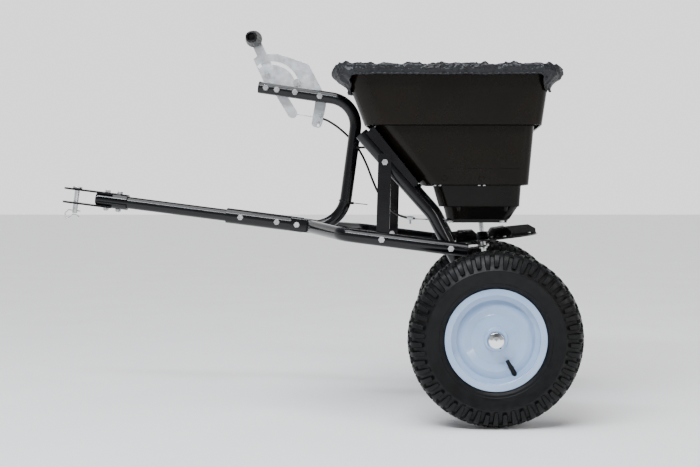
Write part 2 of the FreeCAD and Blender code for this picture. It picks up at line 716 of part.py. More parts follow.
def sheath_points():
    """Route of the cable's sheath, from the bracket's ear down behind the handle tube to its clamp."""
    return [Vector(6.2, 30, 722.8), Vector(24, 30, 717), Vector(47, 30, 703), Vector(71, 30, 683),
            Vector(95, 30, 658), Vector(113, 30, 630), Vector(127, 30, 600), Vector(138, 30, 570),
            Vector(150, 29, 541), Vector(164, 27, 515), Vector(181, 23, 493), Vector(202, 18, 476.5),
            Vector(226, 11, 467.5), Vector(250, 7, 465.5)]


def cable_sheath():
    points = sheath_points()
    bends = natural_bends(points)
    return round_sweep(bent_path(points, bends), CABLE_R)


def cable_wire_front():
    """Bare inner wire from the lever's pin to the bracket."""
    hole = Vector(LEVER_HOLE[0], CABLE_Y, LEVER_HOLE[1])
    bracket = Vector(5.9, CABLE_Y, 723.0)
    return rod(hole + (bracket - hole).normalize() * 4.3, bracket, WIRE_R)


def gate_lug_point():
    return Vector(329.5, 4.0, 457.0)


def cable_wire_rear():
    """Bare inner wire from the sheath's clamp to the gate."""
    end = sheath_points()[-1]
    return rod(end, gate_lug_point(), WIRE_R)


def cable_clamp():
    """Saddle clamp on a strip from the base plate, holding the sheath's end, with its screw."""
    ring = rod(Vector(230, 10.2, 467.1), Vector(246, 7.8, 465.9), CABLE_R + 2.0)
    screw = rod(Vector(238, 9, 463.5), Vector(238, 9, 452), 2.5)
    strip = block(234.0, 327.0, 11.0, 22.0, 462.6, 464.6)
    link = block(232.0, 244.0, 10.6, 15.0, 462.6, 468.0)
    sheath = round_sweep(bent_path(sheath_points(), natural_bends(sheath_points())), CABLE_R + 0.05)
    return join([ring, screw, strip, link]).cut(sheath)


def cable_tie():
    """Plastic tie round the handle tube, with its lock and tail."""
    corner, up, back = handle_frame()
    bend_centre = corner + (up - back) * LOW_BEND_R
    turn = math.radians(8.0)
    centre = bend_centre + (back * math.cos(turn) - up * math.sin(turn)) * LOW_BEND_R
    along = up * math.cos(turn) + back * math.sin(turn)
    band = rod(centre - along * 2.2, centre + along * 2.2, HANDLE_R + 1.4)
    band = band.cut(rod(centre - along * 9, centre + along * 9, HANDLE_R + 0.25))
    lock = block(centre.x + HANDLE_R + 0.8, centre.x + HANDLE_R + 7.0, -5.5, 1.0, centre.z - 6.5, centre.z)
    tail = rod(Vector(centre.x + HANDLE_R + 6, -2.5, centre.z - 3.0),
               Vector(centre.x + HANDLE_R + 42, -2.5, centre.z - 7.0), 1.1)
    return join([band, lock, tail])


# ---------------------------------------------------------------- hopper and gate

def shaft_cut(radius):
    """Cylinder on the leaning shaft line, to cut for the shaft or its bushes."""
    return to_shaft(Part.makeCylinder(radius, 400))


def hopper_bolt_spots():
    """Corners of the base plate's bolt pattern."""
    return [(x, y) for x in (342.0, 467.0) for y in (-96.0, 96.0)]


def ledge_screw_spots():
    """Pairs of small screws under the bin's middle ledge on both sides."""
    return [(x, side * 190.0) for x in (304.0, 316.0, 409.0, 421.0) for side in (-1, 1)]


def outlet_cut(shift):
    """Two outlet openings in front of the shaft, moved along X by shift."""
    cuts = []
    for y in (-30.0, 30.0):
        cuts.append(block(352.0 + shift, 352.0 + shift + OUTLET_HALF * 2, y - 14, y + 14, 440, 480))
    return Part.makeCompound(cuts)


def hopper():
    """Stepped bin with a rolled rim lip, open at the top and round the outlet."""
    outside = []
    inside = []
    for upper, lower in TIERS:
        outside.append(rounded_loft(upper, lower))
        raised = (upper[0] - WALL,) + upper[1:]
        if upper[0] == HOPPER_TOP:
            raised = (upper[0] + 0.01,) + upper[1:]
        inside.append(rounded_loft(raised, (lower[0] - 0.01,) + lower[1:], WALL))
    top = TIERS[0][0]
    lip = []
    for height in (HOPPER_TOP, HOPPER_TOP - RIM_THICK):
        lip.append((height, top[1] - RIM_LIP, top[2] + RIM_LIP, top[3] + RIM_LIP,
                    top[4] + RIM_LIP, top[5] + RIM_LIP))
    outside.append(rounded_loft(lip[0], lip[1]))
    shell = join(outside)
    for hollow in inside:
        shell = shell.cut(hollow)
    bottom = TIERS[-1][1]
    opening_front = bottom[1] + 30.0
    floor = block(bottom[1] + 1, bottom[2] - 1, -bottom[3] + 1, bottom[3] - 1, bottom[0], bottom[0] + WALL)
    floor = floor.common(rounded_loft(TIERS[-1][0], TIERS[-1][1]))
    bosses = []
    for x in (361.0, 474.0):
        for y in (-138.5, 138.5):
            bosses.append(Part.makeCone(5.5, 3.5, 12.0, Vector(x, y, TIERS[2][1][0] + 0.5), Vector(0, 0, -1)))
    shell = join([shell, floor] + bosses)
    shell = shell.cut(block(opening_front - 14, opening_front + 40, -52, 52, 460, 475))
    shell = shell.cut(shaft_cut(11.0))
    for x, y in hopper_bolt_spots():
        shell = shell.cut(rod(Vector(x, y, 455), Vector(x, y, 480), 3.2))
    for x, y in ledge_screw_spots():
        shell = shell.cut(rod(Vector(x, y, LEDGE_Z - 3), Vector(x, y, LEDGE_Z + WALL + 1), 1.6))
    for side in (-1, 1):
        shell = cut_bores(shell, bin_bolt_lines(side), BOLT_R, 12.0)
    return shell


def base_top():
    return TIERS[-1][1][0]


def hopper_base():
    """Steel plate under the bin with the outlet openings and the shaft's upper bush seat."""
    top = base_top()
    plate = rounded_loft((top, 327.0, 482.0, 112.0, 18.0, 18.0),
                         (top - BASE_THICK, 327.0, 482.0, 112.0, 18.0, 18.0))
    plate = plate.cut(outlet_cut(0.0)).cut(shaft_cut(9.0))
    for x, y in hopper_bolt_spots():
        plate = plate.cut(rod(Vector(x, y, 455), Vector(x, y, 480), 3.2))
    return plate


def gate_plate():
    """Sliding shutter under the base plate: same openings, half a stroke out of line when shut."""
    top = base_top() - BASE_THICK - GATE_GAP
    plate = block(330.0, 478.0, -62.0, 62.0, top - GATE_THICK, top)
    plate = plate.cut(outlet_cut(GATE_TRAVEL))
    shaft_x = AXLE_X - math.tan(math.radians(SHAFT_LEAN_DEG)) * (top - WHEEL_R)
    plate = plate.cut(block(shaft_x - 11.5, shaft_x + GATE_TRAVEL + 11.5, -11.5, 11.5, 440, 480))
    lug = block(326.0, 332.0, -8.0, 14.0, top - GATE_THICK, top)
    tang = block(330.0, 333.0, -4.0, 12.0, top - GATE_THICK - 2.5, top)
    return join([plate, lug, tang])


def gate_guides():
    """Two stepped rails that carry the shutter's edges."""
    top = base_top() - BASE_THICK
    low = top - GATE_GAP - GATE_THICK - GATE_GAP
    rails = []
    for side in (-1, 1):
        inner, edge, outer = 54.0, 62.4, 74.0
        spans = [sorted((side * edge, side * outer)), sorted((side * inner, side * outer))]
        upper = block(336.0, 480.0, spans[0][0], spans[0][1], low, top)
        lower = block(336.0, 480.0, spans[1][0], spans[1][1], low - 2.0, low)
        rails.append(join([upper, lower]))
    return Part.makeCompound(rails)


def hopper_bolts():
    """Base plate screws, the bolts that hold the bin to its support angles, and the ledge's screws."""
    solids = []
    for x, y in hopper_bolt_spots():
        top = base_top() + WALL
        solids.append(bolt(Vector(x, y, top), Vector(x, y, base_top() - BASE_THICK), 3.0, 10.0, 3.5))
    for side in (-1, 1):
        for head, tail in bin_bolt_lines(side):
            solids.append(bolt(head, tail))
    for x, y in ledge_screw_spots():
        head = rod(Vector(x, y, LEDGE_Z), Vector(x, y, LEDGE_Z - 2.4), 3.4)
        shank = rod(Vector(x, y, LEDGE_Z), Vector(x, y, LEDGE_Z + WALL), 1.5)
        solids.append(join([head, shank]))
    return Part.makeCompound(solids)


def shaft_bushes():
    """Flanged bushes of the leaning shaft: one in the cross plate, one under the bin."""
    low = Part.makeCylinder(10.0, 9.0, Vector(0, 0, CROSS_PLATE_AT - 4.0))
    flange = Part.makeCylinder(14.0, 2.0, Vector(0, 0, CROSS_PLATE_AT + 4.0))
    plate_bush = join([low, flange])
    seat = (base_top() - WHEEL_R) / math.cos(math.radians(SHAFT_LEAN_DEG))
    high = Part.makeCylinder(8.9, 9.0, Vector(0, 0, seat - 5.0))
    collar = Part.makeCylinder(10.8, 4.0, Vector(0, 0, seat + 1.6))
    bin_bush = join([high, collar])
    bores = Part.makeCylinder(SHAFT_R + RUNNING, 400)
    return Part.makeCompound([to_shaft(plate_bush.cut(bores)), to_shaft(bin_bush.cut(bores))])


def rain_cover():
    """Fitted cover over the rim: a flat top and a short skirt, clear of the lip all round."""
    top = TIERS[0][0]
    lip = (top[1] - RIM_LIP, top[2] + RIM_LIP, top[3] + RIM_LIP, top[4] + RIM_LIP, top[5] + RIM_LIP)

    def ring(height, grow):
        return (height, lip[0] - grow, lip[1] + grow, lip[2] + grow, lip[3] + grow, lip[4] + grow)

    outer = rounded_loft(ring(COVER_TOP, COVER_GAP + COVER_THICK), ring(COVER_HEM, COVER_GAP + COVER_THICK))
    inner = rounded_loft(ring(HOPPER_TOP + 0.5, COVER_GAP), ring(COVER_HEM - 1, COVER_GAP))
    return outer.cut(inner)


# ---------------------------------------------------------------- impeller and gears

def bevel_gear(teeth, other, bore_r, hub_r, hub_back, first_deg):
    """Straight bevel gear about +Z with its apex at the origin and thin, free-running teeth."""
    pitch_r = MODULE * teeth / 2
    height = MODULE * other / 2
    cone = math.hypot(pitch_r, height)
    along = Vector(pitch_r / cone, 0, height / cone)
    outward = Vector(along.z, 0, -along.x)
    sections = []
    for distance in (cone, cone - FACE_WIDTH):
        scale = distance / cone
        tip = along * distance + outward * (ADDENDUM * scale)
        root = along * distance - outward * ((DEDENDUM + 0.3) * scale)
        half_tip = Vector(0, TIP_HALF * scale, 0)
        half_root = Vector(0, ROOT_HALF * scale, 0)
        corners = [root - half_root, root + half_root, tip + half_tip, tip - half_tip, root - half_root]
        sections.append(Part.makePolygon(corners))
    tooth = Part.makeLoft(sections, True, True)
    far_end = cone + RIM_BEYOND_TEETH
    near_end = cone - FACE_WIDTH - RIM_BEYOND_TEETH
    big = along * far_end - outward * (DEDENDUM * far_end / cone)
    small = along * near_end - outward * (DEDENDUM * near_end / cone)
    back = big - outward * 4.0
    outline = [Vector(bore_r, 0, small.z), small, big, back, Vector(max(back.x - 6, hub_r), 0, back.z + 1),
               Vector(hub_r, 0, back.z + 1), Vector(hub_r, 0, hub_back), Vector(bore_r, 0, hub_back)]
    outline.append(outline[0])
    blank = Part.Face(Part.makePolygon(outline)).revolve(Vector(0, 0, 0), Vector(0, 0, 1), 360)
    solids = [blank]
    for index in range(teeth):
        copy = tooth.copy()
        copy.rotate(Vector(0, 0, 0), Vector(0, 0, 1), first_deg + 360.0 * index / teeth)
        solids.append(copy)
    return join(solids)


def pinion_gear():
    """Pinion on the shaft's foot; a tooth points at the drive gear, to +Y."""
    gear = bevel_gear(PINION_TEETH, DRIVE_TEETH, SHAFT_R, 10.0, 61.0, 90.0)
    pin_hole = rod(Vector(-20, 0, 58), Vector(20, 0, 58), 1.5)
    return to_shaft(gear.cut(pin_hole))


def drive_gear():
    """Large bevel gear on the axle, right of the shaft, with a gap in line with the shaft."""
    half_tooth = 180.0 / DRIVE_TEETH
    gear = bevel_gear(DRIVE_TEETH, PINION_TEETH, AXLE_R, 16.0, 34.0, 0.0)
    turn = FreeCAD.Rotation(Vector(1, 0, 0), -90)
    gear.Placement = FreeCAD.Placement(Vector(0, 0, 0), turn)
    # the drawn X axis stays along X, so turn a gap up to the leaning shaft line
    gear.rotate(Vector(0, 0, 0), Vector(0, 1, 0), -90.0 - SHAFT_LEAN_DEG + half_tooth)
    gear.translate(Vector(AXLE_X, 0, WHEEL_R))
    pin = rod(Vector(AXLE_X - 30, 30.0, WHEEL_R), Vector(AXLE_X + 30, 30.0, WHEEL_R), 2.0)
    return gear.cut(pin)


def impeller_shaft():
    shaft = Part.makeCylinder(SHAFT_R, SHAFT_TOP - SHAFT_BOTTOM, Vector(0, 0, SHAFT_BOTTOM))
    for height, radius in ((58.0, 1.5), (DISC_AT + 12.0, 2.0), (SHAFT_TOP - 12.0, 3.0)):
        shaft = shaft.cut(rod(Vector(-20, 0, height), Vector(20, 0, height), radius))
    return to_shaft(shaft)


def impeller_disc():
    """Spinner disc with a raised hub and a turned-down edge."""
    disc = Part.makeCylinder(DISC_R, DISC_THICK, Vector(0, 0, DISC_AT))
    hub = Part.makeCone(22.0, 12.0, 20.0, Vector(0, 0, DISC_AT))
    disc = join([disc, hub])
    disc = disc.cut(Part.makeCylinder(SHAFT_R, 60, Vector(0, 0, DISC_AT - 20)))
    disc = disc.cut(rod(Vector(-30, 0, DISC_AT + 12.0), Vector(30, 0, DISC_AT + 12.0), 2.0))
    for index in range(VANE_COUNT):
        for reach in (58.0, 118.0):
            hole = Part.makeCylinder(2.5, 20, Vector(reach, -8.0, DISC_AT - 5))
            hole.rotate(Vector(0, 0, 0), Vector(0, 0, 1), 360.0 * index / VANE_COUNT)
            disc = disc.cut(hole)
    return to_shaft(disc)


def impeller_vanes():
    """Angle vanes riveted on the disc: a foot flange and an upright blade."""
    vanes = []
    floor = DISC_AT + DISC_THICK
    for index in range(VANE_COUNT):
        foot = block(44.0, 136.0, -16.0, 0.0, floor, floor + 2.0)
        blade = flat_outline([(32.0, floor), (136.0, floor), (136.0, floor + 12), (118.0, floor + VANE_TALL),
                              (50.0, floor + VANE_TALL), (32.0, floor + 14)], 0.0, 2.0)
        vane = join([foot, blade])
        for reach in (58.0, 118.0):
            vane = vane.cut(Part.makeCylinder(2.5, 30, Vector(reach, -8.0, floor - 5)))
        vane.rotate(Vector(0, 0, 0), Vector(0, 0, 1), 360.0 * index / VANE_COUNT)
        vanes.append(to_shaft(vane))
    return Part.makeCompound(vanes)


def impeller_pins():
    """Spring pins of the pinion and the disc, and the vanes' rivets."""
    solids = [rod(Vector(-10.5, 0, 58), Vector(10.5, 0, 58), 1.5),
              rod(Vector(-19, 0, DISC_AT + 12.0), Vector(19, 0, DISC_AT + 12.0), 2.0)]
    floor = DISC_AT + DISC_THICK
    for index in range(VANE_COUNT):
        for reach in (58.0, 118.0):
            shank = Part.makeCylinder(2.5, 8.0, Vector(reach, -8.0, DISC_AT - 1.0))
            head = Part.makeCylinder(4.5, 2.0, Vector(reach, -8.0, floor + 2.0))
            foot = Part.makeCylinder(4.0, 1.0, Vector(reach, -8.0, DISC_AT - 1.0))
            rivet = join([shank.common(Part.makeCylinder(4, 7.0, Vector(reach, -8.0, DISC_AT - 1.0))), head, foot])
            rivet.rotate(Vector(0, 0, 0), Vector(0, 0, 1), 360.0 * index / VANE_COUNT)
            solids.append(rivet)
    return Part.makeCompound([to_shaft(solid) for solid in solids])


def agitator():
    """Cross pin through the shaft's top, bent down at both ends to stir the load."""
    height = SHAFT_TOP - 12.0
    points = [Vector(-34, 0, height - 22), Vector(-34, 0, height), Vector(34, 0, height),
              Vector(34, 0, height + 22)]
    return to_shaft(round_sweep(bent_path(points, [8.0, 8.0]), 3.0))


def gear_bracket():
    """Inverted U over the gears: its ears ride on the axle, its web guides the shaft."""
    web = block(-16, 16, -32, 52, 70.0, 74.0)
    ears = []
    for y0 in (-32.0, 48.0):
        ears.append(block(-16, 16, y0, y0 + 4, 0.0, 74.0))
        ears.append(rod(Vector(0, y0, 0), Vector(0, y0 + 4, 0), 16.0))
    bracket = join([web] + ears)
    bracket = bracket.cut(rod(Vector(0, -60, 0), Vector(0, 60, 0), AXLE_R + RUNNING))
    bracket = bracket.cut(Part.makeCylinder(SHAFT_R + RUNNING, 100, Vector(0, 0, 20)))
    for y in (-22.0, 22.0):
        bracket = bracket.cut(Part.makeCylinder(3.2, 40, Vector(0, y, 50)))
    return to_shaft(bracket)


def gear_bracket_bolts():
    """Long bolts that hang the gear bracket from the cross plate."""
    solids = []
    for y in (-22.0, 22.0):
        shank = rod(Vector(0, y, 65.0), Vector(0, y, CROSS_PLATE_AT + 8), 3.0)
        nuts = [hexagon(Vector(0, y, low), Vector(0, 0, 1), 4.5, 10.0)
                for low in (65.5, 74.0, CROSS_PLATE_AT - 4.5, CROSS_PLATE_AT + 4.0)]
        solids.append(to_shaft(join([shank] + nuts)))
    return Part.makeCompound(solids)


# ---------------------------------------------------------------- axle and wheels

def axle():
    end = WHEEL_Y + 42.0
    shaft = rod(Vector(AXLE_X, -end, WHEEL_R), Vector(AXLE_X, end, WHEEL_R), AXLE_R)
    shaft = shaft.cut(rod(Vector(AXLE_X - 30, 30.0, WHEEL_R), Vector(AXLE_X + 30, 30.0, WHEEL_R), 2.0))
    for y in (-WHEEL_Y + 36.0,):
        shaft = shaft.cut(rod(Vector(AXLE_X - 30, y, WHEEL_R), Vector(AXLE_X + 30, y, WHEEL_R), 3.0))
    for y in (-WHEEL_Y - 38.5, WHEEL_Y + 38.5):
        shaft = shaft.cut(rod(Vector(AXLE_X, y, WHEEL_R - 30), Vector(AXLE_X, y, WHEEL_R + 30), 1.8))
    return shaft


def axle_pins():
    """Gear pin, the driven wheel's cross pin, end washers with cotters, and two stop collars."""
    solids = [rod(Vector(AXLE_X - 16, 30.0, WHEEL_R), Vector(AXLE_X + 16, 30.0, WHEEL_R), 2.0)]
    drive_y = -WHEEL_Y + 36.0
    solids.append(rod(Vector(AXLE_X - 20, drive_y, WHEEL_R), Vector(AXLE_X + 20, drive_y, WHEEL_R), 3.0))
    for side in (-1, 1):
        washer_y = side * (WHEEL_Y + 34.4)
        cotter_y = side * (WHEEL_Y + 38.5)
        ends = [Vector(AXLE_X, washer_y, WHEEL_R), Vector(AXLE_X, washer_y + side * 2.0, WHEEL_R)]
        solids.append(rod(ends[0], ends[1], 14.0).cut(rod(ends[0], ends[1], AXLE_R)))
        solids.append(rod(Vector(AXLE_X, cotter_y, WHEEL_R - 13), Vector(AXLE_X, cotter_y, WHEEL_R + 12), 1.8))
        collar_y = side * (LEG_Y + TUBE_R + 4.4)
        collar = rod(Vector(AXLE_X, collar_y, WHEEL_R), Vector(AXLE_X, collar_y + side * 12, WHEEL_R), 13.0)
        solids.append(collar.cut(rod(Vector(AXLE_X, collar_y - 20, WHEEL_R),
                                     Vector(AXLE_X, collar_y + 20, WHEEL_R), AXLE_R)))
    return Part.makeCompound(solids)


def axle_bushes():
    """Flanged nylon bushes pressed through the feet of both legs."""
    solids = []
    for side in (-1, 1):
        inner = side * (LEG_Y - TUBE_R)
        outer = side * (LEG_Y + TUBE_R)
        barrel = rod(Vector(AXLE_X, inner - side * 2, WHEEL_R), Vector(AXLE_X, outer + side * 2, WHEEL_R), 11.95)
        rims = []
        for face, away in ((inner, -side), (outer, side)):
            rims.append(rod(Vector(AXLE_X, face + away * 0.1, WHEEL_R),
                            Vector(AXLE_X, face + away * 3.0, WHEEL_R), 15.5))
        bush = join([barrel] + rims)
        hole = rod(Vector(AXLE_X, inner - side * 9, WHEEL_R), Vector(AXLE_X, outer + side * 9, WHEEL_R),
                   AXLE_R + RUNNING)
        solids.append(bush.cut(hole))
    return Part.makeCompound(solids)


def wheel_rim(side):
    """Pressed steel rim: well with two flanges, dished disc and a hub tube."""
    barrel = turned([(-37.8, 100), (-37.8, 115), (-34.8, 115), (-34.8, 102.8), (-21, 102.8), (-16, 92),
                     (16, 92), (21, 102.8), (34.8, 102.8), (34.8, 115), (37.8, 115), (37.8, 100),
                     (23, 100), (18, 89), (-18, 89), (-23, 100)])
    disc = turned([(-17, 90), (-24, 72), (-16, 55), (-22, 28), (-30, 25.8), (-30, 15), (-26, 15),
                   (-26, 22), (-19, 25), (-13, 55), (-21, 72), (-13, 90)])
    hub = rod(Vector(0, -34, 0), Vector(0, 46, 0), HUB_R)
    hub = hub.cut(rod(Vector(0, -60, 0), Vector(0, 60, 0), AXLE_R + RUNNING))
    rim = join([barrel, disc.cut(rod(Vector(0, -60, 0), Vector(0, 60, 0), HUB_R - 0.5)), hub])
    valve_axis = valve_line()
    rim = rim.cut(rod(valve_axis[0] - (valve_axis[1] - valve_axis[0]), valve_axis[1], 5.8))
    if side < 0:
        rim = rim.cut(rod(Vector(-30, 36.0, 0), Vector(30, 36.0, 0), 3.0))
    return to_wheel(rim, side)


def valve_line():
    """The valve's line on the disc's face: from its root near the well to its tip, towards the hub."""
    turn = math.radians(-61.5)
    outward = Vector(math.cos(turn), 0, math.sin(turn))
    root = outward * 86.0 + Vector(0, -17.0, 0)
    tip = outward * 54.0 + Vector(0, -31.0, 0)
    return root, tip


def valve_stem(side):
    """Rubber snap-in valve with its cap."""
    root, tip = valve_line()
    along = (tip - root).normalize()
    base = rod(root - along * 9, root + along * 1, 5.7)
    body = Part.makeCone(5.7, 3.9, 22.0, root + along * 1, along)
    cap = rod(root + along * 23, root + along * 36, 4.4)
    return to_wheel(join([base, body, cap]), side)


def hub_cap(side):
    """Domed cap over the axle's end, its skirt seated on the hub's collar."""
    outer = turned([(-30.1, 0), (-30.1, 20.8), (-41, 20.8), (-45.6, 17), (-48.2, 9), (-49, 0)])
    inner = turned([(-30.0, 0), (-30.0, 19.3), (-40.4, 19.3), (-44.3, 16), (-46.8, 8.5), (-47.5, 0)])
    return to_wheel(outer.cut(inner), side)


def tyre(side):
    """Hollow pneumatic tyre: crown, shoulders, bulging walls and beads."""
    def at(y, radius):
        return Vector(0, y, radius)

    def arc(a, b, c):
        return Part.Arc(at(*a), at(*b), at(*c)).toShape()

    def line(a, b):
        return Part.LineSegment(at(*a), at(*b)).toShape()

    edges = [arc((-42, 189), (0, WHEEL_R), (42, 189))]
    half = [("arc", (42, 189), (52.4, 158), (45, 126)), ("line", (45, 126), (39.5, 117.5)),
            ("line", (39.5, 117.5), (34.7, 115.4)), ("line", (34.7, 115.4), (34.7, 103)),
            ("line", (34.7, 103), (23, 103)), ("line", (23, 103), (26, 116)),
            ("arc", (26, 116), (43, 157), (35, 181))]
    for kind, *points in half:
        edges.append(arc(*points) if kind == "arc" else line(*points))
    edges.append(arc((35, 181), (0, 191), (-35, 181)))
    for kind, *points in reversed(half):
        flipped = [(-y, radius) for y, radius in reversed(points)]
        edges.append(arc(*flipped) if kind == "arc" else line(*flipped))
    body = Part.Face(Part.Wire(edges)).revolve(Vector(0, 0, 0), Vector(0, 1, 0), 360)
    return to_wheel(body, side)


def main():
    os.makedirs("parts", exist_ok=True)
    singles = [tongue_tube, tongue_sleeve, hitch_bolts, hitch_pin, hairpin_clip, handle_tube,
               handle_crossbar, cross_plate, frame_bolts, tongue_bolts, tube_plugs, control_plate,
               control_bolts, flow_lever, lever_knob, stop_bolt, cable_bracket, cable_sheath,
               cable_wire_front, cable_wire_rear, cable_clamp, cable_tie, hopper, hopper_base,
               gate_plate, gate_guides, hopper_bolts, shaft_bushes, rain_cover, pinion_gear,
               drive_gear, impeller_shaft, impeller_disc, impeller_vanes, impeller_pins, agitator,
               gear_bracket, gear_bracket_bolts, axle, axle_pins, axle_bushes]
    for piece in singles:
        save(piece.__name__, piece())
    save("hitch_plate_upper", hitch_plate(1))
    save("hitch_plate_lower", hitch_plate(-1))
    pairs = [frame_tube, leg_tube, upright, hopper_support, wheel_rim, tyre, valve_stem, hub_cap]
    for side, label in ((-1, "left"), (1, "right")):
        for piece in pairs:
            save(piece.__name__ + "_" + label, piece(side))


main()
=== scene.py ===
import json
import math

import bpy
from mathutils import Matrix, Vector, noise


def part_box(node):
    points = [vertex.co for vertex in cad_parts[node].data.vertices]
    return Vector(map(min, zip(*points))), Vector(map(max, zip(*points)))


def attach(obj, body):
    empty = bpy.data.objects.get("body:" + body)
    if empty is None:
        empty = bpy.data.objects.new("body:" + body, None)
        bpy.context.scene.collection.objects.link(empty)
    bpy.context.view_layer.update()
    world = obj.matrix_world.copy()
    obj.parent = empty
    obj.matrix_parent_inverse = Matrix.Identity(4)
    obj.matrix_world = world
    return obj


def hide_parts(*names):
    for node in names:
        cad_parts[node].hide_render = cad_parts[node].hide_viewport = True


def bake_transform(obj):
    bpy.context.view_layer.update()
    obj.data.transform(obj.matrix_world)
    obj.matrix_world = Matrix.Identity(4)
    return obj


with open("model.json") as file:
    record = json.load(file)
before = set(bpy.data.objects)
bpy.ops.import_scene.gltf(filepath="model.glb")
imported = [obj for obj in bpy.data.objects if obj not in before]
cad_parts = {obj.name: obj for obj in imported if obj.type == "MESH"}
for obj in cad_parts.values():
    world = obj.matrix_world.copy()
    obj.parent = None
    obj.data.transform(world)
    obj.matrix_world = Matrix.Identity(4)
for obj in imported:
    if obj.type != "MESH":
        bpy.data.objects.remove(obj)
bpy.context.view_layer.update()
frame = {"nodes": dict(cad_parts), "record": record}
nodes = frame["nodes"]
MM = 0.001


# ---------------------------------------------------------------- mesh helpers

def mesh_object(name, points, faces, smooth_deg=35.0):
    """A mesh from points in metres, shaded smooth except at sharp edges."""
    mesh = bpy.data.meshes.new(name)
    mesh.from_pydata([tuple(p) for p in points], [], faces)
    mesh.validate()
    obj = bpy.data.objects.new(name, mesh)
    bpy.context.scene.collection.objects.link(obj)
    mesh.shade_smooth()
    mesh.set_sharp_from_angle(angle=math.radians(smooth_deg))
    return obj


def ring_faces(rows, columns, closed=False):
    """Quads between rings of points stored one ring after another; closed joins the last to the first."""
    faces = []
    for row in range(rows - 1):
        for col in range(columns):
            nxt = (col + 1) % columns
            a = row * columns
            faces.append((a + col, a + nxt, a + columns + nxt, a + columns + col))
    if closed:
        last = (rows - 1) * columns
        for col in range(columns):
            nxt = (col + 1) % columns
            faces.append((last + col, last + nxt, nxt, col))
    return faces


def end_faces(rows, columns):
    """The two flat ends of a tube made of rings."""
    return [tuple(reversed(range(columns))), tuple(range((rows - 1) * columns, rows * columns))]


def turns(count):
    """Angles that go once round in equal steps."""
    return [2 * math.pi * step / count for step in range(count)]


def round_point(y, radius, turn, centre):
    """Point in metres at y and radius in mm from centre, turned about the Y axis."""
    return (centre[0] + radius * math.cos(turn) * MM, centre[1] + y * MM,
            centre[2] + radius * math.sin(turn) * MM)


def revolve(profile, centre, segments):
    """Closed (y, radius) outline turned about the Y axis through centre, in millimetres."""
    points = [round_point(y, radius, turn, centre) for y, radius in profile for turn in turns(segments)]
    return points, ring_faces(len(profile), segments, True)


def tube_mesh(name, line, radii, sides, closed=False):
    """Round tube along a line of points in metres, with one radius for each point."""
    points = []
    count = len(line)
    side = Vector((0.31, 0.87, 0.39))
    for i, p in enumerate(line):
        before = line[i - 1] if (i or closed) else p
        after = line[(i + 1) % count] if (i + 1 < count or closed) else p
        along = (after - before).normalized()
        side = (side - along * side.dot(along)).normalized()
        other = along.cross(side)
        for turn in turns(sides):
            points.append(p + (side * math.cos(turn) + other * math.sin(turn)) * radii[i])
    faces = ring_faces(count, sides, closed)
    if not closed:
        faces += end_faces(count, sides)
    return mesh_object(name, points, faces, 50)


# ---------------------------------------------------------------- materials

class Nodes:
    """Small helper for a procedural material."""

    def __init__(self, name):
        self.material = bpy.data.materials.new(name)
        self.material.use_nodes = True
        self.tree = self.material.node_tree
        self.shader = self.tree.nodes["Principled BSDF"]
        coords = self.tree.nodes.new("ShaderNodeTexCoord")
        self.coords = coords.outputs["Object"]

    def put(self, socket, value):
        self.shader.inputs[socket].default_value = value

    def link(self, a, b):
        self.tree.links.new(a, b)

    def noise(self, scale, detail=4.0, rough=0.55):
        node = self.tree.nodes.new("ShaderNodeTexNoise")
        node.inputs["Scale"].default_value = scale
        node.inputs["Detail"].default_value = detail
        node.inputs["Roughness"].default_value = rough
        self.link(self.coords, node.inputs["Vector"])
        return node.outputs["Fac"]

    def voronoi(self, scale):
        node = self.tree.nodes.new("ShaderNodeTexVoronoi")
        node.inputs["Scale"].default_value = scale
        self.link(self.coords, node.inputs["Vector"])
        return node.outputs["Color"]

    def ramp(self, fac, low, high, a, b):
        """Colours a to b as fac goes from low to high."""
        node = self.tree.nodes.new("ShaderNodeValToRGB")
        node.color_ramp.elements[0].position = low
        node.color_ramp.elements[1].position = high
        node.color_ramp.elements[0].color = (*a, 1)
        node.color_ramp.elements[1].color = (*b, 1)
        self.link(fac, node.inputs["Fac"])
        return node.outputs["Color"]

    def grey(self, fac, low, high, a, b):
        node = self.tree.nodes.new("ShaderNodeMapRange")
        node.inputs["From Min"].default_value = low
        node.inputs["From Max"].default_value = high
        node.inputs["To Min"].default_value = a
        node.inputs["To Max"].default_value = b
        self.link(fac, node.inputs["Value"])
        return node.outputs["Result"]

    def base(self, colour):
        self.link(colour, self.shader.inputs["Base Color"])

    def roughness(self, value):
        self.link(value, self.shader.inputs["Roughness"])

    def relief(self, heights, edge=0.0):
        """Stack of (height, strength, distance) bumps, over rounded edges if edge is given."""
        normal = None
        if edge:
            node = self.tree.nodes.new("ShaderNodeBevel")
            node.samples = 4
            node.inputs["Radius"].default_value = edge
            normal = node.outputs["Normal"]
        for height, strength, distance in heights:
            node = self.tree.nodes.new("ShaderNodeBump")
            node.inputs["Strength"].default_value = strength
            node.inputs["Distance"].default_value = distance
            self.link(height, node.inputs["Height"])
            if normal:
                self.link(normal, node.inputs["Normal"])
            normal = node.outputs["Normal"]
        self.link(normal, self.shader.inputs["Normal"])


def metal(name, dark, light, rough, scale, edge=0.0006, spangle=0.0):
    m = Nodes(name)
    m.base(m.ramp(m.noise(scale, 5.0), 0.35, 0.68, dark, light))
    m.put("Metallic", 1.0)
    m.roughness(m.grey(m.noise(scale * 3.1, 4.0), 0.3, 0.7, rough[0], rough[1]))
    heights = [(m.noise(scale * 22, 3.0), 0.12, 0.0004)]
    if spangle:
        heights.append((m.voronoi(spangle), 0.10, 0.0003))
    m.relief(heights, edge)
    return m.material


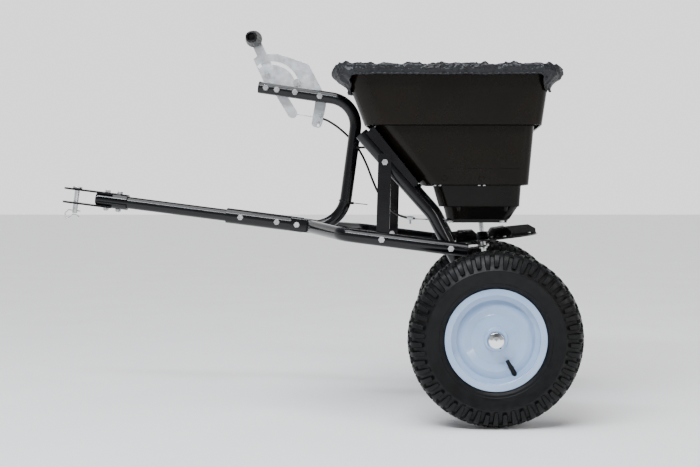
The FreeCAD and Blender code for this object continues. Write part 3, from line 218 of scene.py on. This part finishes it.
def black_paint():
    m = Nodes("black_paint")
    m.base(m.ramp(m.noise(9.0, 5.0), 0.35, 0.7, (0.0016, 0.0016, 0.0022), (0.0042, 0.0042, 0.0054)))
    m.roughness(m.grey(m.noise(38.0, 5.0), 0.3, 0.75, 0.12, 0.24))
    m.put("Specular IOR Level", 0.28)
    m.put("Coat Weight", 0.15)
    m.put("Coat Roughness", 0.08)
    m.relief([(m.noise(420.0, 2.0), 0.10, 0.0003)], 0.0008)
    return m.material


def moulded(name, dark, light, rough, grain, strength, edge=0.0015, gloss=0.28):
    m = Nodes(name)
    m.put("Specular IOR Level", gloss)
    m.base(m.ramp(m.noise(5.0, 6.0, 0.6), 0.34, 0.70, dark, light))
    m.roughness(m.grey(m.noise(14.0, 6.0, 0.62), 0.28, 0.72, rough[0], rough[1]))
    m.relief([(m.noise(grain, 3.0), strength, 0.0005), (m.noise(6.5, 2.0), 0.10, 0.006)], edge)
    return m.material


def enamel():
    m = Nodes("rim_enamel")
    m.base(m.ramp(m.noise(11.0, 5.0), 0.35, 0.7, (0.29, 0.41, 0.61), (0.36, 0.49, 0.70)))
    m.roughness(m.grey(m.noise(30.0, 5.0), 0.3, 0.7, 0.16, 0.26))
    m.put("Coat Weight", 0.6)
    m.put("Coat Roughness", 0.12)
    m.relief([(m.noise(300.0, 2.0), 0.08, 0.0003)], 0.003)
    return m.material


def rubber(name, dark, light):
    m = Nodes(name)
    dust = m.noise(26.0, 7.0, 0.65)
    m.base(m.ramp(dust, 0.34, 0.74, dark, light))
    m.roughness(m.grey(m.noise(60.0, 5.0), 0.3, 0.7, 0.34, 0.56))
    m.put("Specular IOR Level", 0.20)
    m.relief([(m.noise(700.0, 3.0), 0.25, 0.0004), (m.noise(95.0, 3.0), 0.15, 0.0006)], 0.0008)
    return m.material


def cover_cloth():
    m = Nodes("cover_fabric")
    m.base(m.ramp(m.noise(16.0, 6.0, 0.6), 0.32, 0.72,
                  (0.0040, 0.0046, 0.0060), (0.0110, 0.0125, 0.0165)))
    m.roughness(m.grey(m.noise(45.0, 5.0), 0.3, 0.7, 0.30, 0.48))
    m.put("Sheen Weight", 0.02)
    m.put("Specular IOR Level", 0.34)
    m.put("Sheen Roughness", 0.35)
    m.put("Sheen Tint", (0.55, 0.66, 0.85, 1))
    heights = []
    for axis in ("X", "Y"):
        wave = m.tree.nodes.new("ShaderNodeTexWave")
        wave.bands_direction = axis
        wave.inputs["Scale"].default_value = 420.0
        wave.inputs["Distortion"].default_value = 0.3
        m.link(m.coords, wave.inputs["Vector"])
        heights.append((wave.outputs["Fac"], 0.10, 0.0002))
    heights.append((m.noise(70.0, 5.0, 0.6), 0.35, 0.0012))
    m.relief(heights)
    return m.material


MATERIALS = {
    "black_paint": black_paint(),
    "zinc": metal("zinc", (0.56, 0.57, 0.58), (0.80, 0.81, 0.82), (0.22, 0.38), 30.0, 0.0005),
    "zinc_plate": metal("zinc_plate", (0.70, 0.72, 0.75), (0.86, 0.88, 0.90), (0.30, 0.46), 18.0, 0.0006),
    "galvanised": metal("galvanised", (0.48, 0.50, 0.52), (0.68, 0.70, 0.72),
                        (0.32, 0.50), 24.0, 0.0006, 110.0),
    "wire_steel": metal("wire_steel", (0.38, 0.39, 0.40), (0.62, 0.63, 0.65), (0.28, 0.42), 90.0, 0.0),
    "bright_steel": metal("bright_steel", (0.42, 0.42, 0.43), (0.62, 0.62, 0.63), (0.20, 0.36), 22.0),
    "gear_metal": metal("gear_metal", (0.10, 0.10, 0.105), (0.24, 0.24, 0.25), (0.38, 0.60), 35.0),
    "chrome": metal("chrome", (0.84, 0.85, 0.87), (0.92, 0.93, 0.94), (0.04, 0.10), 12.0, 0.0012),
    # The hopper's brownish base colour is a painted reflection: it stands in for a brown floor mirrored in
    # the black plastic.
    "hopper_plastic": moulded("hopper_plastic", (0.0036, 0.0026, 0.0017), (0.0078, 0.0056, 0.0036),
                              (0.17, 0.30), 900.0, 0.12, edge=0.003, gloss=0.15),
    "black_plastic": moulded("black_plastic", (0.0035, 0.0035, 0.0036), (0.0095, 0.0095, 0.0100),
                             (0.26, 0.42), 800.0, 0.16),
    "cable_jacket": moulded("cable_jacket", (0.003, 0.003, 0.0035), (0.007, 0.007, 0.008),
                            (0.24, 0.38), 900.0, 0.12, edge=0.0),
    "nylon": moulded("nylon", (0.60, 0.59, 0.55), (0.74, 0.73, 0.69),
                     (0.34, 0.48), 600.0, 0.12, edge=0.0004),
    "rim_enamel": enamel(),
    "tyre_rubber": rubber("tyre_rubber", (0.0012, 0.0012, 0.0014), (0.0052, 0.0053, 0.0058)),
    "valve_rubber": rubber("valve_rubber", (0.003, 0.003, 0.003), (0.008, 0.008, 0.008)),
    "cover_fabric": cover_cloth(),
}


def paint(obj, slot_name):
    obj.data.materials.clear()
    obj.data.materials.append(MATERIALS[slot_name])
    return obj


for part in frame["record"]["subparts"]:
    piece = nodes[part["node"]]
    if not piece.material_slots:
        piece.data.materials.append(None)
    for index in range(len(piece.material_slots)):
        piece.material_slots[index].material = MATERIALS[part["material_slot"]]


# ---------------------------------------------------------------- tyres

LUGS = 54

# Outline of the carcass from the crown's middle to the bead, (y, radius); the lugs stand on it.
CARCASS_OUTER = [(0, 195.0), (14, 194.2), (25, 190.6), (33, 185.6), (38.6, 179.0), (43.0, 171.5),
                 (46.6, 164.0), (49.4, 159.6), (51.4, 158.0), (52.3, 156.0), (52.3, 154.2), (51.2, 152.2),
                 (50.4, 146.0), (48.3, 137.0), (46.0, 130.0), (45.8, 128.4), (44.3, 127.2), (43.6, 123.6),
                 (43.4, 122.2), (41.4, 120.8), (39.2, 118.0), (36.8, 116.6), (35.2, 115.5), (34.8, 112.0),
                 (34.7, 103.1)]
CARCASS_INNER = [(23.0, 103.1), (26, 116), (38, 135), (42, 157), (33, 178), (18, 187.5)]
# Shoulder lug along the envelope: foot (y, radius), top (y, radius), half width
SHOULDER = [((48.4, 157.6), (51.7, 160.4), 4.0), ((45.4, 164.0), (51.2, 166.0), 4.9),
            ((41.8, 171.0), (49.6, 173.0), 5.7), ((38.0, 177.5), (46.8, 180.4), 6.3),
            ((33.0, 183.8), (43.2, 187.2), 6.7), ((28.0, 187.6), (38.0, 191.0), 6.8),
            ((22.0, 190.4), (29.5, 194.6), 6.6)]


def carcass_outline():
    """Closed outline, right half then the left half mirrored, ending inside the crown."""
    right = CARCASS_OUTER + CARCASS_INNER
    left = [(-y, r) for y, r in reversed(right[1:])]
    return right + [(0, 190.0)] + left


def tread_block(points, faces, centre, angle, stations, lean):
    """Add one rubber block: stations are ((foot y, radius), (top y, radius), half width) along it."""
    base = len(points)
    last = len(stations) - 1
    flip = stations[last][1][0] > stations[0][1][0]
    for i, (foot, top, half_wide) in enumerate(stations):
        turn_mid = angle + lean * i / max(last, 1)
        for share, shrink in ((0.0, 1.06), (0.82, 0.93), (1.0, 0.76)):
            y = foot[0] + (top[0] - foot[0]) * share
            radius = foot[1] + (top[1] - foot[1]) * share
            for sign in (-1, 1):
                points.append(round_point(y, radius, turn_mid + sign * half_wide * shrink / radius, centre))
    order = [0, 2, 4, 5, 3, 1]
    count = len(order)
    block = []
    for i in range(last):
        a = base + i * count
        for k in range(count):
            n = (k + 1) % count
            block.append((a + order[k], a + order[n], a + count + order[n], a + count + order[k]))
    block.append(tuple(base + k for k in reversed(order)))
    block.append(tuple(base + last * count + k for k in order))
    faces += [face if flip else tuple(reversed(face)) for face in block]


def make_tyre(side_name):
    low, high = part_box("tyre_" + side_name)
    centre = (low + high) / 2
    points, faces = revolve(carcass_outline(), centre, 288)
    pitch = 2 * math.pi / LUGS
    for step in range(LUGS):
        angle = pitch * step
        for sign in (-1, 1):
            shift = 0 if sign > 0 else pitch / 2
            long_lug = (step + (sign > 0)) % 2 == 0
            lug = []
            for foot, top, half in SHOULDER if long_lug else SHOULDER[1:-1]:
                lug.append(((sign * foot[0], foot[1]), (sign * top[0], top[1]), half))
            tread_block(points, faces, centre, angle + shift, lug, sign * 0.012)
            near, crest = (24.0, 196.4) if long_lug else (31.0, 194.0)
            middle = [((sign * near, 188.0), (sign * near, crest), 5.0),
                      ((sign * 17.0, 192.0), (sign * 17.0, 198.2), 6.4),
                      ((sign * 11.0, 192.5), (sign * 11.0, 199.2), 6.0)]
            tread_block(points, faces, centre, angle + shift + pitch / 2, middle, sign * 0.02)
        spine = [((-7.0, 193.0), (-7.0, 199.7), 4.4), ((0.0, 193.0), (0.0, 199.9), 5.4),
                 ((7.0, 193.0), (7.0, 199.7), 4.4)]
        tread_block(points, faces, centre, angle + pitch * 0.25, spine, 0.03)
    tyre = mesh_object("tyre_tread_" + side_name, points, faces, 32)
    paint(tyre, "tyre_rubber")
    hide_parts("tyre_" + side_name)
    return tyre


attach(make_tyre("left"), "axle_and_left_wheel")
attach(make_tyre("right"), "right_wheel")


# ---------------------------------------------------------------- knob

KNOB_COLUMNS = 120
FLUTES = 12
# From the open nose to the back: (share of the length, radius in mm, flute depth in mm)
KNOB_OUTSIDE = [(0.0, 11.4, 0), (0.008, 13.0, 0), (0.03, 14.4, 0.1), (0.08, 15.2, 0.5), (0.20, 16.3, 0.9),
                (0.40, 18.2, 1.1), (0.58, 19.8, 1.1), (0.70, 20.9, 0.8), (0.76, 21.3, 0.2), (0.80, 21.2, 0),
                (0.88, 20.4, 0), (0.96, 19.2, 0), (0.99, 18.4, 0), (1.0, 16.8, 0)]
# From the back to the nose: the stud's hole, the wall that closes it, then the hollow nose
KNOB_INSIDE = [(1.0, 5.6, 0), (0.476, 5.4, 0), (0.47, 0.02, 0), (0.34, 0.02, 0), (0.325, 9.0, 0),
               (0.31, 9.6, 0), (0.03, 10.0, 0), (0.008, 10.5, 0)]


def make_knob():
    low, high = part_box("lever_knob")
    centre = (low + high) / 2
    rings = KNOB_OUTSIDE + KNOB_INSIDE
    points = []
    for share, radius, flute in rings:
        y = low.y + (high.y - low.y) * share
        for turn in turns(KNOB_COLUMNS):
            wave = abs(math.sin(turn * FLUTES / 2)) ** 0.7
            r = (radius - flute * (1 - wave) * 1.6) * MM
            points.append((centre.x + r * math.cos(turn), y, centre.z + r * math.sin(turn)))
    knob = mesh_object("knob_fluted", points, ring_faces(len(rings), KNOB_COLUMNS, True), 40)
    paint(knob, "black_plastic")
    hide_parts("lever_knob")
    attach(knob, "lever")


make_knob()


# ---------------------------------------------------------------- control cable's bare wire

WIRE_STEPS = 40
WIRE_SIDES = 30
STRANDS = 6


def wire_piece(name, start, end, node):
    """Stranded wire between two bodies: straight, with a slow twist of its strands, in metres."""
    line = [start.lerp(end, i / WIRE_STEPS) for i in range(WIRE_STEPS + 1)]
    along = (end - start).normalized()
    side = along.orthogonal().normalized()
    other = along.cross(side)
    twist_per_step = 0.35
    points = []
    for i, p in enumerate(line):
        for turn in turns(WIRE_SIDES):
            r = 0.00088 + 0.00012 * abs(math.cos(turn * STRANDS / 2))
            spun = turn + i * twist_per_step
            points.append(p + (side * math.cos(spun) + other * math.sin(spun)) * r)
    faces = ring_faces(len(line), WIRE_SIDES) + end_faces(len(line), WIRE_SIDES)
    wire = mesh_object(name, points, faces, 60)
    paint(wire, "wire_steel")
    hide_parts(node)
    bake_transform(wire)


def wire_ends(node):
    """Ends of a straight CAD wire, front end first."""
    near_end = 0.0025
    co = [v.co.copy() for v in nodes[node].data.vertices]
    front = min(v.x for v in co)
    rear = max(v.x for v in co)
    first = [v for v in co if v.x < front + near_end]
    last = [v for v in co if v.x > rear - near_end]
    return sum(first, Vector()) / len(first), sum(last, Vector()) / len(last)


lever_end, bracket_end = wire_ends("cable_wire_front")
clamp_end, gate_end = wire_ends("cable_wire_rear")
wire_piece("wire_front", bracket_end, lever_end, "cable_wire_front")
wire_piece("wire_rear", clamp_end, gate_end, "cable_wire_rear")


# ---------------------------------------------------------------- small added details

BOLT_SIDES = 36
# Share of the head's height, share of the hexagon's corner radius
HEAD_RINGS = [(0.0, 1.0), (0.72, 1.0), (0.90, 0.93), (1.0, 0.80)]


def hex_bolt(name, face, flats, tall, slot_name, body):
    """Hexagon head with a chamfered crown, standing on face towards -Y; flats and tall in mm."""
    points = []
    corner = flats / math.sqrt(3)
    for share, shrink in HEAD_RINGS:
        for turn in turns(BOLT_SIDES):
            wedge = (turn + math.pi / 6) % (math.pi / 3) - math.pi / 6
            hexed = flats / 2 / math.cos(wedge)
            radius = min(hexed, corner * shrink) if shrink < 1 else hexed
            spoke = Vector((radius * math.cos(turn), -tall * share, radius * math.sin(turn)))
            points.append(face + spoke * MM)
    faces = ring_faces(len(HEAD_RINGS), BOLT_SIDES)
    under, crown = end_faces(len(HEAD_RINGS), BOLT_SIDES)
    faces += [tuple(reversed(under)), tuple(reversed(crown))]
    bolt = mesh_object(name, points, faces, 25)
    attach(paint(bolt, slot_name), body)


# Just in front of the bracket's near face
bracket_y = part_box("cable_bracket")[0].y - 0.00005
hex_bolt("bracket_bolt_upper", Vector((0.0085, bracket_y, 0.7290)), 9.0, 4.0, "zinc", "root")
hex_bolt("bracket_bolt_lower", Vector((0.0015, bracket_y, 0.7105)), 8.0, 3.5, "zinc", "root")

# Middle step of the bin: half width and height at its top, half width and height at its foot
STEP_TOP = (213.0, 694.0)
STEP_FOOT = (201.0, 549.0)
MOULD_LINE_Z = 587.5
EJECTOR_Z = 565.0
EJECTOR_R = 6.2


def bin_marks():
    """Moulding marks on the middle step's walls: a fine line and two round ejector rings."""
    for side, label in ((-1, "left"), (1, "right")):
        def wall(height):
            share = (STEP_TOP[1] - height) / (STEP_TOP[1] - STEP_FOOT[1])
            return side * (STEP_TOP[0] - (STEP_TOP[0] - STEP_FOOT[0]) * share + 0.05) * MM

        line = [Vector((x * MM, wall(MOULD_LINE_Z), MOULD_LINE_Z * MM)) for x in range(300, 506, 3)]
        line_mark = tube_mesh("bin_mould_line_" + label, line, [0.00045] * len(line), 8)
        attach(paint(line_mark, "hopper_plastic"), "root")
        for number, x in ((1, 327.0), (2, 414.0)):
            ring = []
            for turn in turns(48):
                z = EJECTOR_Z + EJECTOR_R * math.sin(turn)
                ring.append(Vector(((x + EJECTOR_R * math.cos(turn)) * MM, wall(z), z * MM)))
            name = "bin_ejector_ring_%s_%d" % (label, number)
            ring_mark = tube_mesh(name, ring, [0.0006] * len(ring), 8, True)
            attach(paint(ring_mark, "hopper_plastic"), "root")


bin_marks()


# ---------------------------------------------------------------- rain cover

# Bin outline at its mouth and at its first step: height, front, rear, half width, corner radii, mm
MOUTH = (820.0, 87.0, 576.0, 244.0, 52.0, 34.0)
STEP = (690.0, 136.0, 557.0, 229.0, 50.0, 32.0)
LIP = 18.0
# Rings of the mesh: points round it, rows from the middle to the fold, rows down to the hem
AROUND, TOP_ROWS, SKIRT_ROWS = 960, 110, 26
TOP_Z = 825.8
FOLD_Z = 827.5
HEM_Z = 806.5
# Gap between the bin's wall and the cloth, at the lip and where the hem tucks in
OUT = LIP + 2.6
TUCKED = 4.0
# What the hem hangs down at each corner: depth in mm, then shift and half width as shares of the way round
HANGS = [(54, -0.032, 0.050), (50, 0.008, 0.026), (30, 0.0, 0.035), (34, 0.0, 0.038)]
DEEPEST_HANG = 38
# The hem tucks in below this height, over this depth, where it hangs
TUCK_FROM, TUCK_DEPTH = 806, 26
# Small gathers along the hem, and creases that fan out from the corners on top
HEM_FOLDS, TOP_CREASES = 118, 74


def wall_outline(height, grow):
    """The bin's outline at that height, grown outwards."""
    share = min(max((MOUTH[0] - height) / (MOUTH[0] - STEP[0]), 0.0), 1.0)
    _, front, rear, half, front_r, rear_r = [a + (b - a) * share for a, b in zip(MOUTH, STEP)]
    return front - grow, rear + grow, half + grow, front_r + grow, rear_r + grow


def outline_runs(front, rear, half, front_r, rear_r):
    """Straight runs and corners of the outline from mid-front, left side next: (length, radius or 0)."""
    flank = rear - front - front_r - rear_r
    front_turn, rear_turn = (front_r * math.pi / 2, front_r), (rear_r * math.pi / 2, rear_r)
    return [(half - front_r, 0), front_turn, (flank, 0), rear_turn, (2 * (half - rear_r), 0),
            rear_turn, (flank, 0), front_turn, (half - front_r, 0)]


def outline_point(share, outline):
    """Point and heading at that share of the way round the outline."""
    runs = outline_runs(*outline)
    left = share * sum(length for length, _ in runs)
    x, y, heading = outline[0], 0.0, -math.pi / 2
    for length, r in runs:
        step = min(left, length)
        if r:
            turn = step / r
            x += r * (math.sin(heading + turn) - math.sin(heading))
            y -= r * (math.cos(heading + turn) - math.cos(heading))
            heading += turn
        else:
            x += step * math.cos(heading)
            y += step * math.sin(heading)
        left -= step
        if left <= 1e-9:
            break
    return x, y, heading


def bump(value, middle, half):
    """Smooth hill of height 1 at middle."""
    d = abs((value - middle + 0.5) % 1.0 - 0.5) / half
    return (1 - d * d) ** 2 if d < 1 else 0.0


def corner_shares():
    """Shares of the way round at which the four corners' middles lie: front-left, rear-left, ..."""
    runs = outline_runs(*wall_outline(MOUTH[0], LIP))
    total = sum(length for length, _ in runs)
    shares, gone = [], 0.0
    for length, radius in runs:
        if radius:
            shares.append((gone + length / 2) / total)
        gone += length
    return shares


def crinkle(p, size, seed):
    """Sharp-crested creases, 0 to 1."""
    q = Vector((p.x / size + seed, p.y / size, p.z / size))
    warp = noise.noise_vector(q * 0.6) * 0.9
    a = 1 - abs(noise.noise(q + warp)) * 2.2
    b = 1 - abs(noise.noise((q + warp) * 2.3 + Vector((7.1, 3.3, 1.7)))) * 2.2
    return max(a, 0) ** 2 * 0.7 + max(b, 0) ** 2 * 0.3


def hem_hang(share, corners):
    """How far below its straight run the hem hangs at that share of the way round."""
    hang = sum(depth * bump(share, corner + shift, half)
               for corner, (depth, shift, half) in zip(corners, HANGS))
    return min(hang, DEEPEST_HANG)


def ripple(x, y, z):
    """Smooth noise, about -1 to 1."""
    return noise.noise(Vector((x, y, z)))


def skirt_column(share, normal, hang):
    """Points of the cloth from the fold down to the hem, in mm, at that share of the way round."""
    wobble = ripple(share * 46, 1.7, 0) * 1.6 + ripple(share * 150, 4.1, 0) * 0.8
    hem_z = HEM_Z - hang + wobble * (1 + hang / 20)
    folds = 0.5 + 0.5 * math.sin(share * 2 * math.pi * HEM_FOLDS + 5 * ripple(share * 30, 0, 2))
    gather = min(1.0, hang / 14) * 3.6 + 1.3
    column = []
    for row in range(SKIRT_ROWS + 1):
        t = row / SKIRT_ROWS
        z = FOLD_Z + (hem_z - FOLD_Z) * t
        tuck = min(max((TUCK_FROM - z) / TUCK_DEPTH, 0), 1)
        tuck = tuck * tuck * (3 - 2 * tuck) * (1 if hang > 3 else hang / 3)
        level = min(z, MOUTH[0])
        outer_x, outer_y, _ = outline_point(share, wall_outline(level, OUT))
        inner_x, inner_y, _ = outline_point(share, wall_outline(level, TUCKED))
        p = Vector((outer_x + (inner_x - outer_x) * tuck, outer_y + (inner_y - outer_y) * tuck, z))
        if row == 0:
            p.z = FOLD_Z - 0.5
        p += normal * (folds * gather * t ** 1.3 * (0.7 + 0.6 * ripple(share * 70, t * 2, 9)))
        belly = math.sin(math.pi * min(t * 1.15, 1)) * min(1.0, hang / 30)
        p += normal * belly * 6.0
        body = 0.35 + 0.65 * math.sin(math.pi * min(1, t + 0.15))
        p += normal * (6.4 * crinkle(p, 34, 3) + 2.2 * crinkle(p, 15, 8)) * body
        p.z += (5.0 * crinkle(p, 30, 11) - 1.5) * math.sin(math.pi * min(1, t + 0.02))
        column.append(p)
    return column


def top_point(share, t, x, y, middle, corners):
    """Point of the cover's top, in mm: t is 0 at the middle and 1 at the edge point (x, y)."""
    p = middle + (Vector((x, y, 0)) - middle) * t
    flat = Vector((p.x, p.y, 0))
    near_edge = max(0.0, (t - 0.80) / 0.20)
    lift = crinkle(flat, 66, 0) * 6.4 + crinkle(flat, 30, 5) * 3.6
    rays = sum(bump(share, corner, 0.08) for corner in corners)
    star = (0.5 + 0.5 * math.sin(share * 2 * math.pi * TOP_CREASES + t * 5)) * rays * 3.2 * t * t
    p.z = TOP_Z - 7.0 * (1 - t * t)
    p.z += lift * (1 + 0.30 * near_edge) + star
    p.z -= 1.4 * near_edge ** 4
    return p


def cover_points():
    """The cover's points, ring after ring from the middle to the hem, and the line of the hem."""
    corners = corner_shares()
    outline = wall_outline(MOUTH[0], OUT)
    middle = Vector(((outline[0] + outline[1]) / 2, 0, 0))
    edge, skirt, hem_line = [], [], []
    for i in range(AROUND):
        share = i / AROUND
        x, y, heading = outline_point(share, outline)
        normal = Vector((-math.sin(heading), math.cos(heading), 0))
        if normal.dot(Vector((x, y, 0)) - middle) < 0:
            normal.negate()
        column = skirt_column(share, normal, hem_hang(share, corners))
        edge.append((share, x, y))
        skirt.append(column)
        hem_line.append((column[-1] + normal * 0.4) * MM)
    points = []
    for row in range(TOP_ROWS):
        t = ((row + 1) / (TOP_ROWS + 1)) ** 0.9
        points += [top_point(share, t, x, y, middle, corners) * MM for share, x, y in edge]
    fold_line = points[-AROUND:]
    for row in range(SKIRT_ROWS + 1):
        for column, above in zip(skirt, fold_line):
            p = column[row].copy()
            if row == 0:
                p.z = min(p.z, above.z / MM - 0.4)
            points.append(p * MM)
    return points, hem_line


def make_cover():
    points, hem_line = cover_points()
    faces = ring_faces(TOP_ROWS + SKIRT_ROWS + 1, AROUND)
    hub = len(points)
    points.append(sum((points[i] for i in range(AROUND)), Vector()) / AROUND)
    for i in range(AROUND):
        faces.append((hub, (i + 1) % AROUND, i))
    cover = mesh_object("rain_cover_cloth", points, faces, 80)
    cover.data.flip_normals()
    solid = cover.modifiers.new("thickness", "SOLIDIFY")
    solid.thickness = 0.0006
    solid.offset = 0
    paint(cover, "cover_fabric")
    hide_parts("rain_cover")
    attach(cover, "cover")
    radii = [0.0021 + 0.0007 * math.sin(i * 0.9) + 0.0005 * ripple(i * 0.21, 0, 0) for i in range(AROUND)]
    hem = tube_mesh("rain_cover_hem", hem_line, radii, 10, True)
    paint(hem, "cover_fabric")
    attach(hem, "cover")
    return cover, hem


cover, cover_hem = make_cover()


# ---------------------------------------------------------------- floor, light and camera

def make_floor():
    size = 30.0
    corners = [(-size, -size, 0), (size, -size, 0), (size, size, 0), (-size, size, 0)]
    mesh = bpy.data.meshes.new("floor")
    mesh.from_pydata(corners, [], [(0, 1, 2, 3)])
    floor = bpy.data.objects.new("floor", mesh)
    bpy.context.scene.collection.objects.link(floor)
    m = Nodes("floor_pale")
    m.base(m.ramp(m.noise(3.0, 4.0), 0.3, 0.7, (0.86, 0.86, 0.86), (0.90, 0.90, 0.90)))
    m.put("Roughness", 0.75)
    floor.data.materials.append(m.material)


def area_light(name, place, target, size, power, colour):
    data = bpy.data.lights.new(name, "AREA")
    data.shape = "RECTANGLE"
    data.size, data.size_y = size
    data.energy = power
    data.color = colour
    lamp = bpy.data.objects.new(name, data)
    lamp.location = place
    lamp.rotation_mode = "QUATERNION"
    lamp.rotation_quaternion = (Vector(target) - Vector(place)).to_track_quat("-Z", "Y")
    bpy.context.scene.collection.objects.link(lamp)


def make_world():
    """Pale studio sky: white low down, darker overhead and on the camera's side."""
    world = bpy.data.worlds.new("studio")
    bpy.context.scene.world = world
    world.use_nodes = True
    sky = world.node_tree
    coords = sky.nodes.new("ShaderNodeTexCoord")
    split = sky.nodes.new("ShaderNodeSeparateXYZ")
    fade = sky.nodes.new("ShaderNodeValToRGB")
    fade.color_ramp.interpolation = "EASE"
    low, high = fade.color_ramp.elements
    low.position, low.color = 0.16, (1.0, 1.0, 1.0, 1)
    high.position, high.color = 0.55, (0.16, 0.17, 0.19, 1)
    side_fade = sky.nodes.new("ShaderNodeMapRange")
    for socket, value in (("From Min", -0.5), ("From Max", 0.5), ("To Min", 0.34), ("To Max", 1.08)):
        side_fade.inputs[socket].default_value = value
    dim = sky.nodes.new("ShaderNodeVectorMath")
    dim.operation = "MULTIPLY"
    background = sky.nodes["Background"]
    sky.links.new(coords.outputs["Generated"], split.inputs[0])
    sky.links.new(split.outputs["Y"], side_fade.inputs["Value"])
    sky.links.new(fade.outputs["Color"], dim.inputs[0])
    sky.links.new(side_fade.outputs["Result"], dim.inputs[1])
    sky.links.new(split.outputs["Z"], fade.inputs["Fac"])
    sky.links.new(dim.outputs["Vector"], background.inputs["Color"])
    background.inputs["Strength"].default_value = 1.5


def make_sun():
    sun = bpy.data.lights.new("overhead", "SUN")
    sun.energy = 3.3
    sun.angle = math.radians(50)
    overhead = bpy.data.objects.new("overhead", sun)
    overhead.rotation_euler = (math.radians(14), math.radians(-8), 0)
    bpy.context.scene.collection.objects.link(overhead)


def make_camera():
    axle_low, axle_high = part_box("axle")
    axle_x = (axle_low.x + axle_high.x) / 2
    lens = bpy.data.cameras.new("camera")
    lens.lens = 60.4
    lens.sensor_width = 36.0
    lens.shift_x = -0.1464
    lens.shift_y = -0.0536
    camera = bpy.data.objects.new("camera", lens)
    camera.location = (axle_x - 0.0977, -2.980, 0.5227)
    camera.rotation_euler = (math.pi / 2, 0, 0)
    bpy.context.scene.collection.objects.link(camera)
    bpy.context.scene.camera = camera


make_floor()
make_world()
area_light("key", (-0.6, -1.9, 2.5), (0.1, 0, 0.5), (2.4, 0.28), 80, (0.86, 0.93, 1.0))
area_light("side", (2.6, -2.2, 1.5), (0.4, 0, 0.5), (0.35, 1.6), 24, (1.0, 0.96, 0.92))
make_sun()
make_camera()
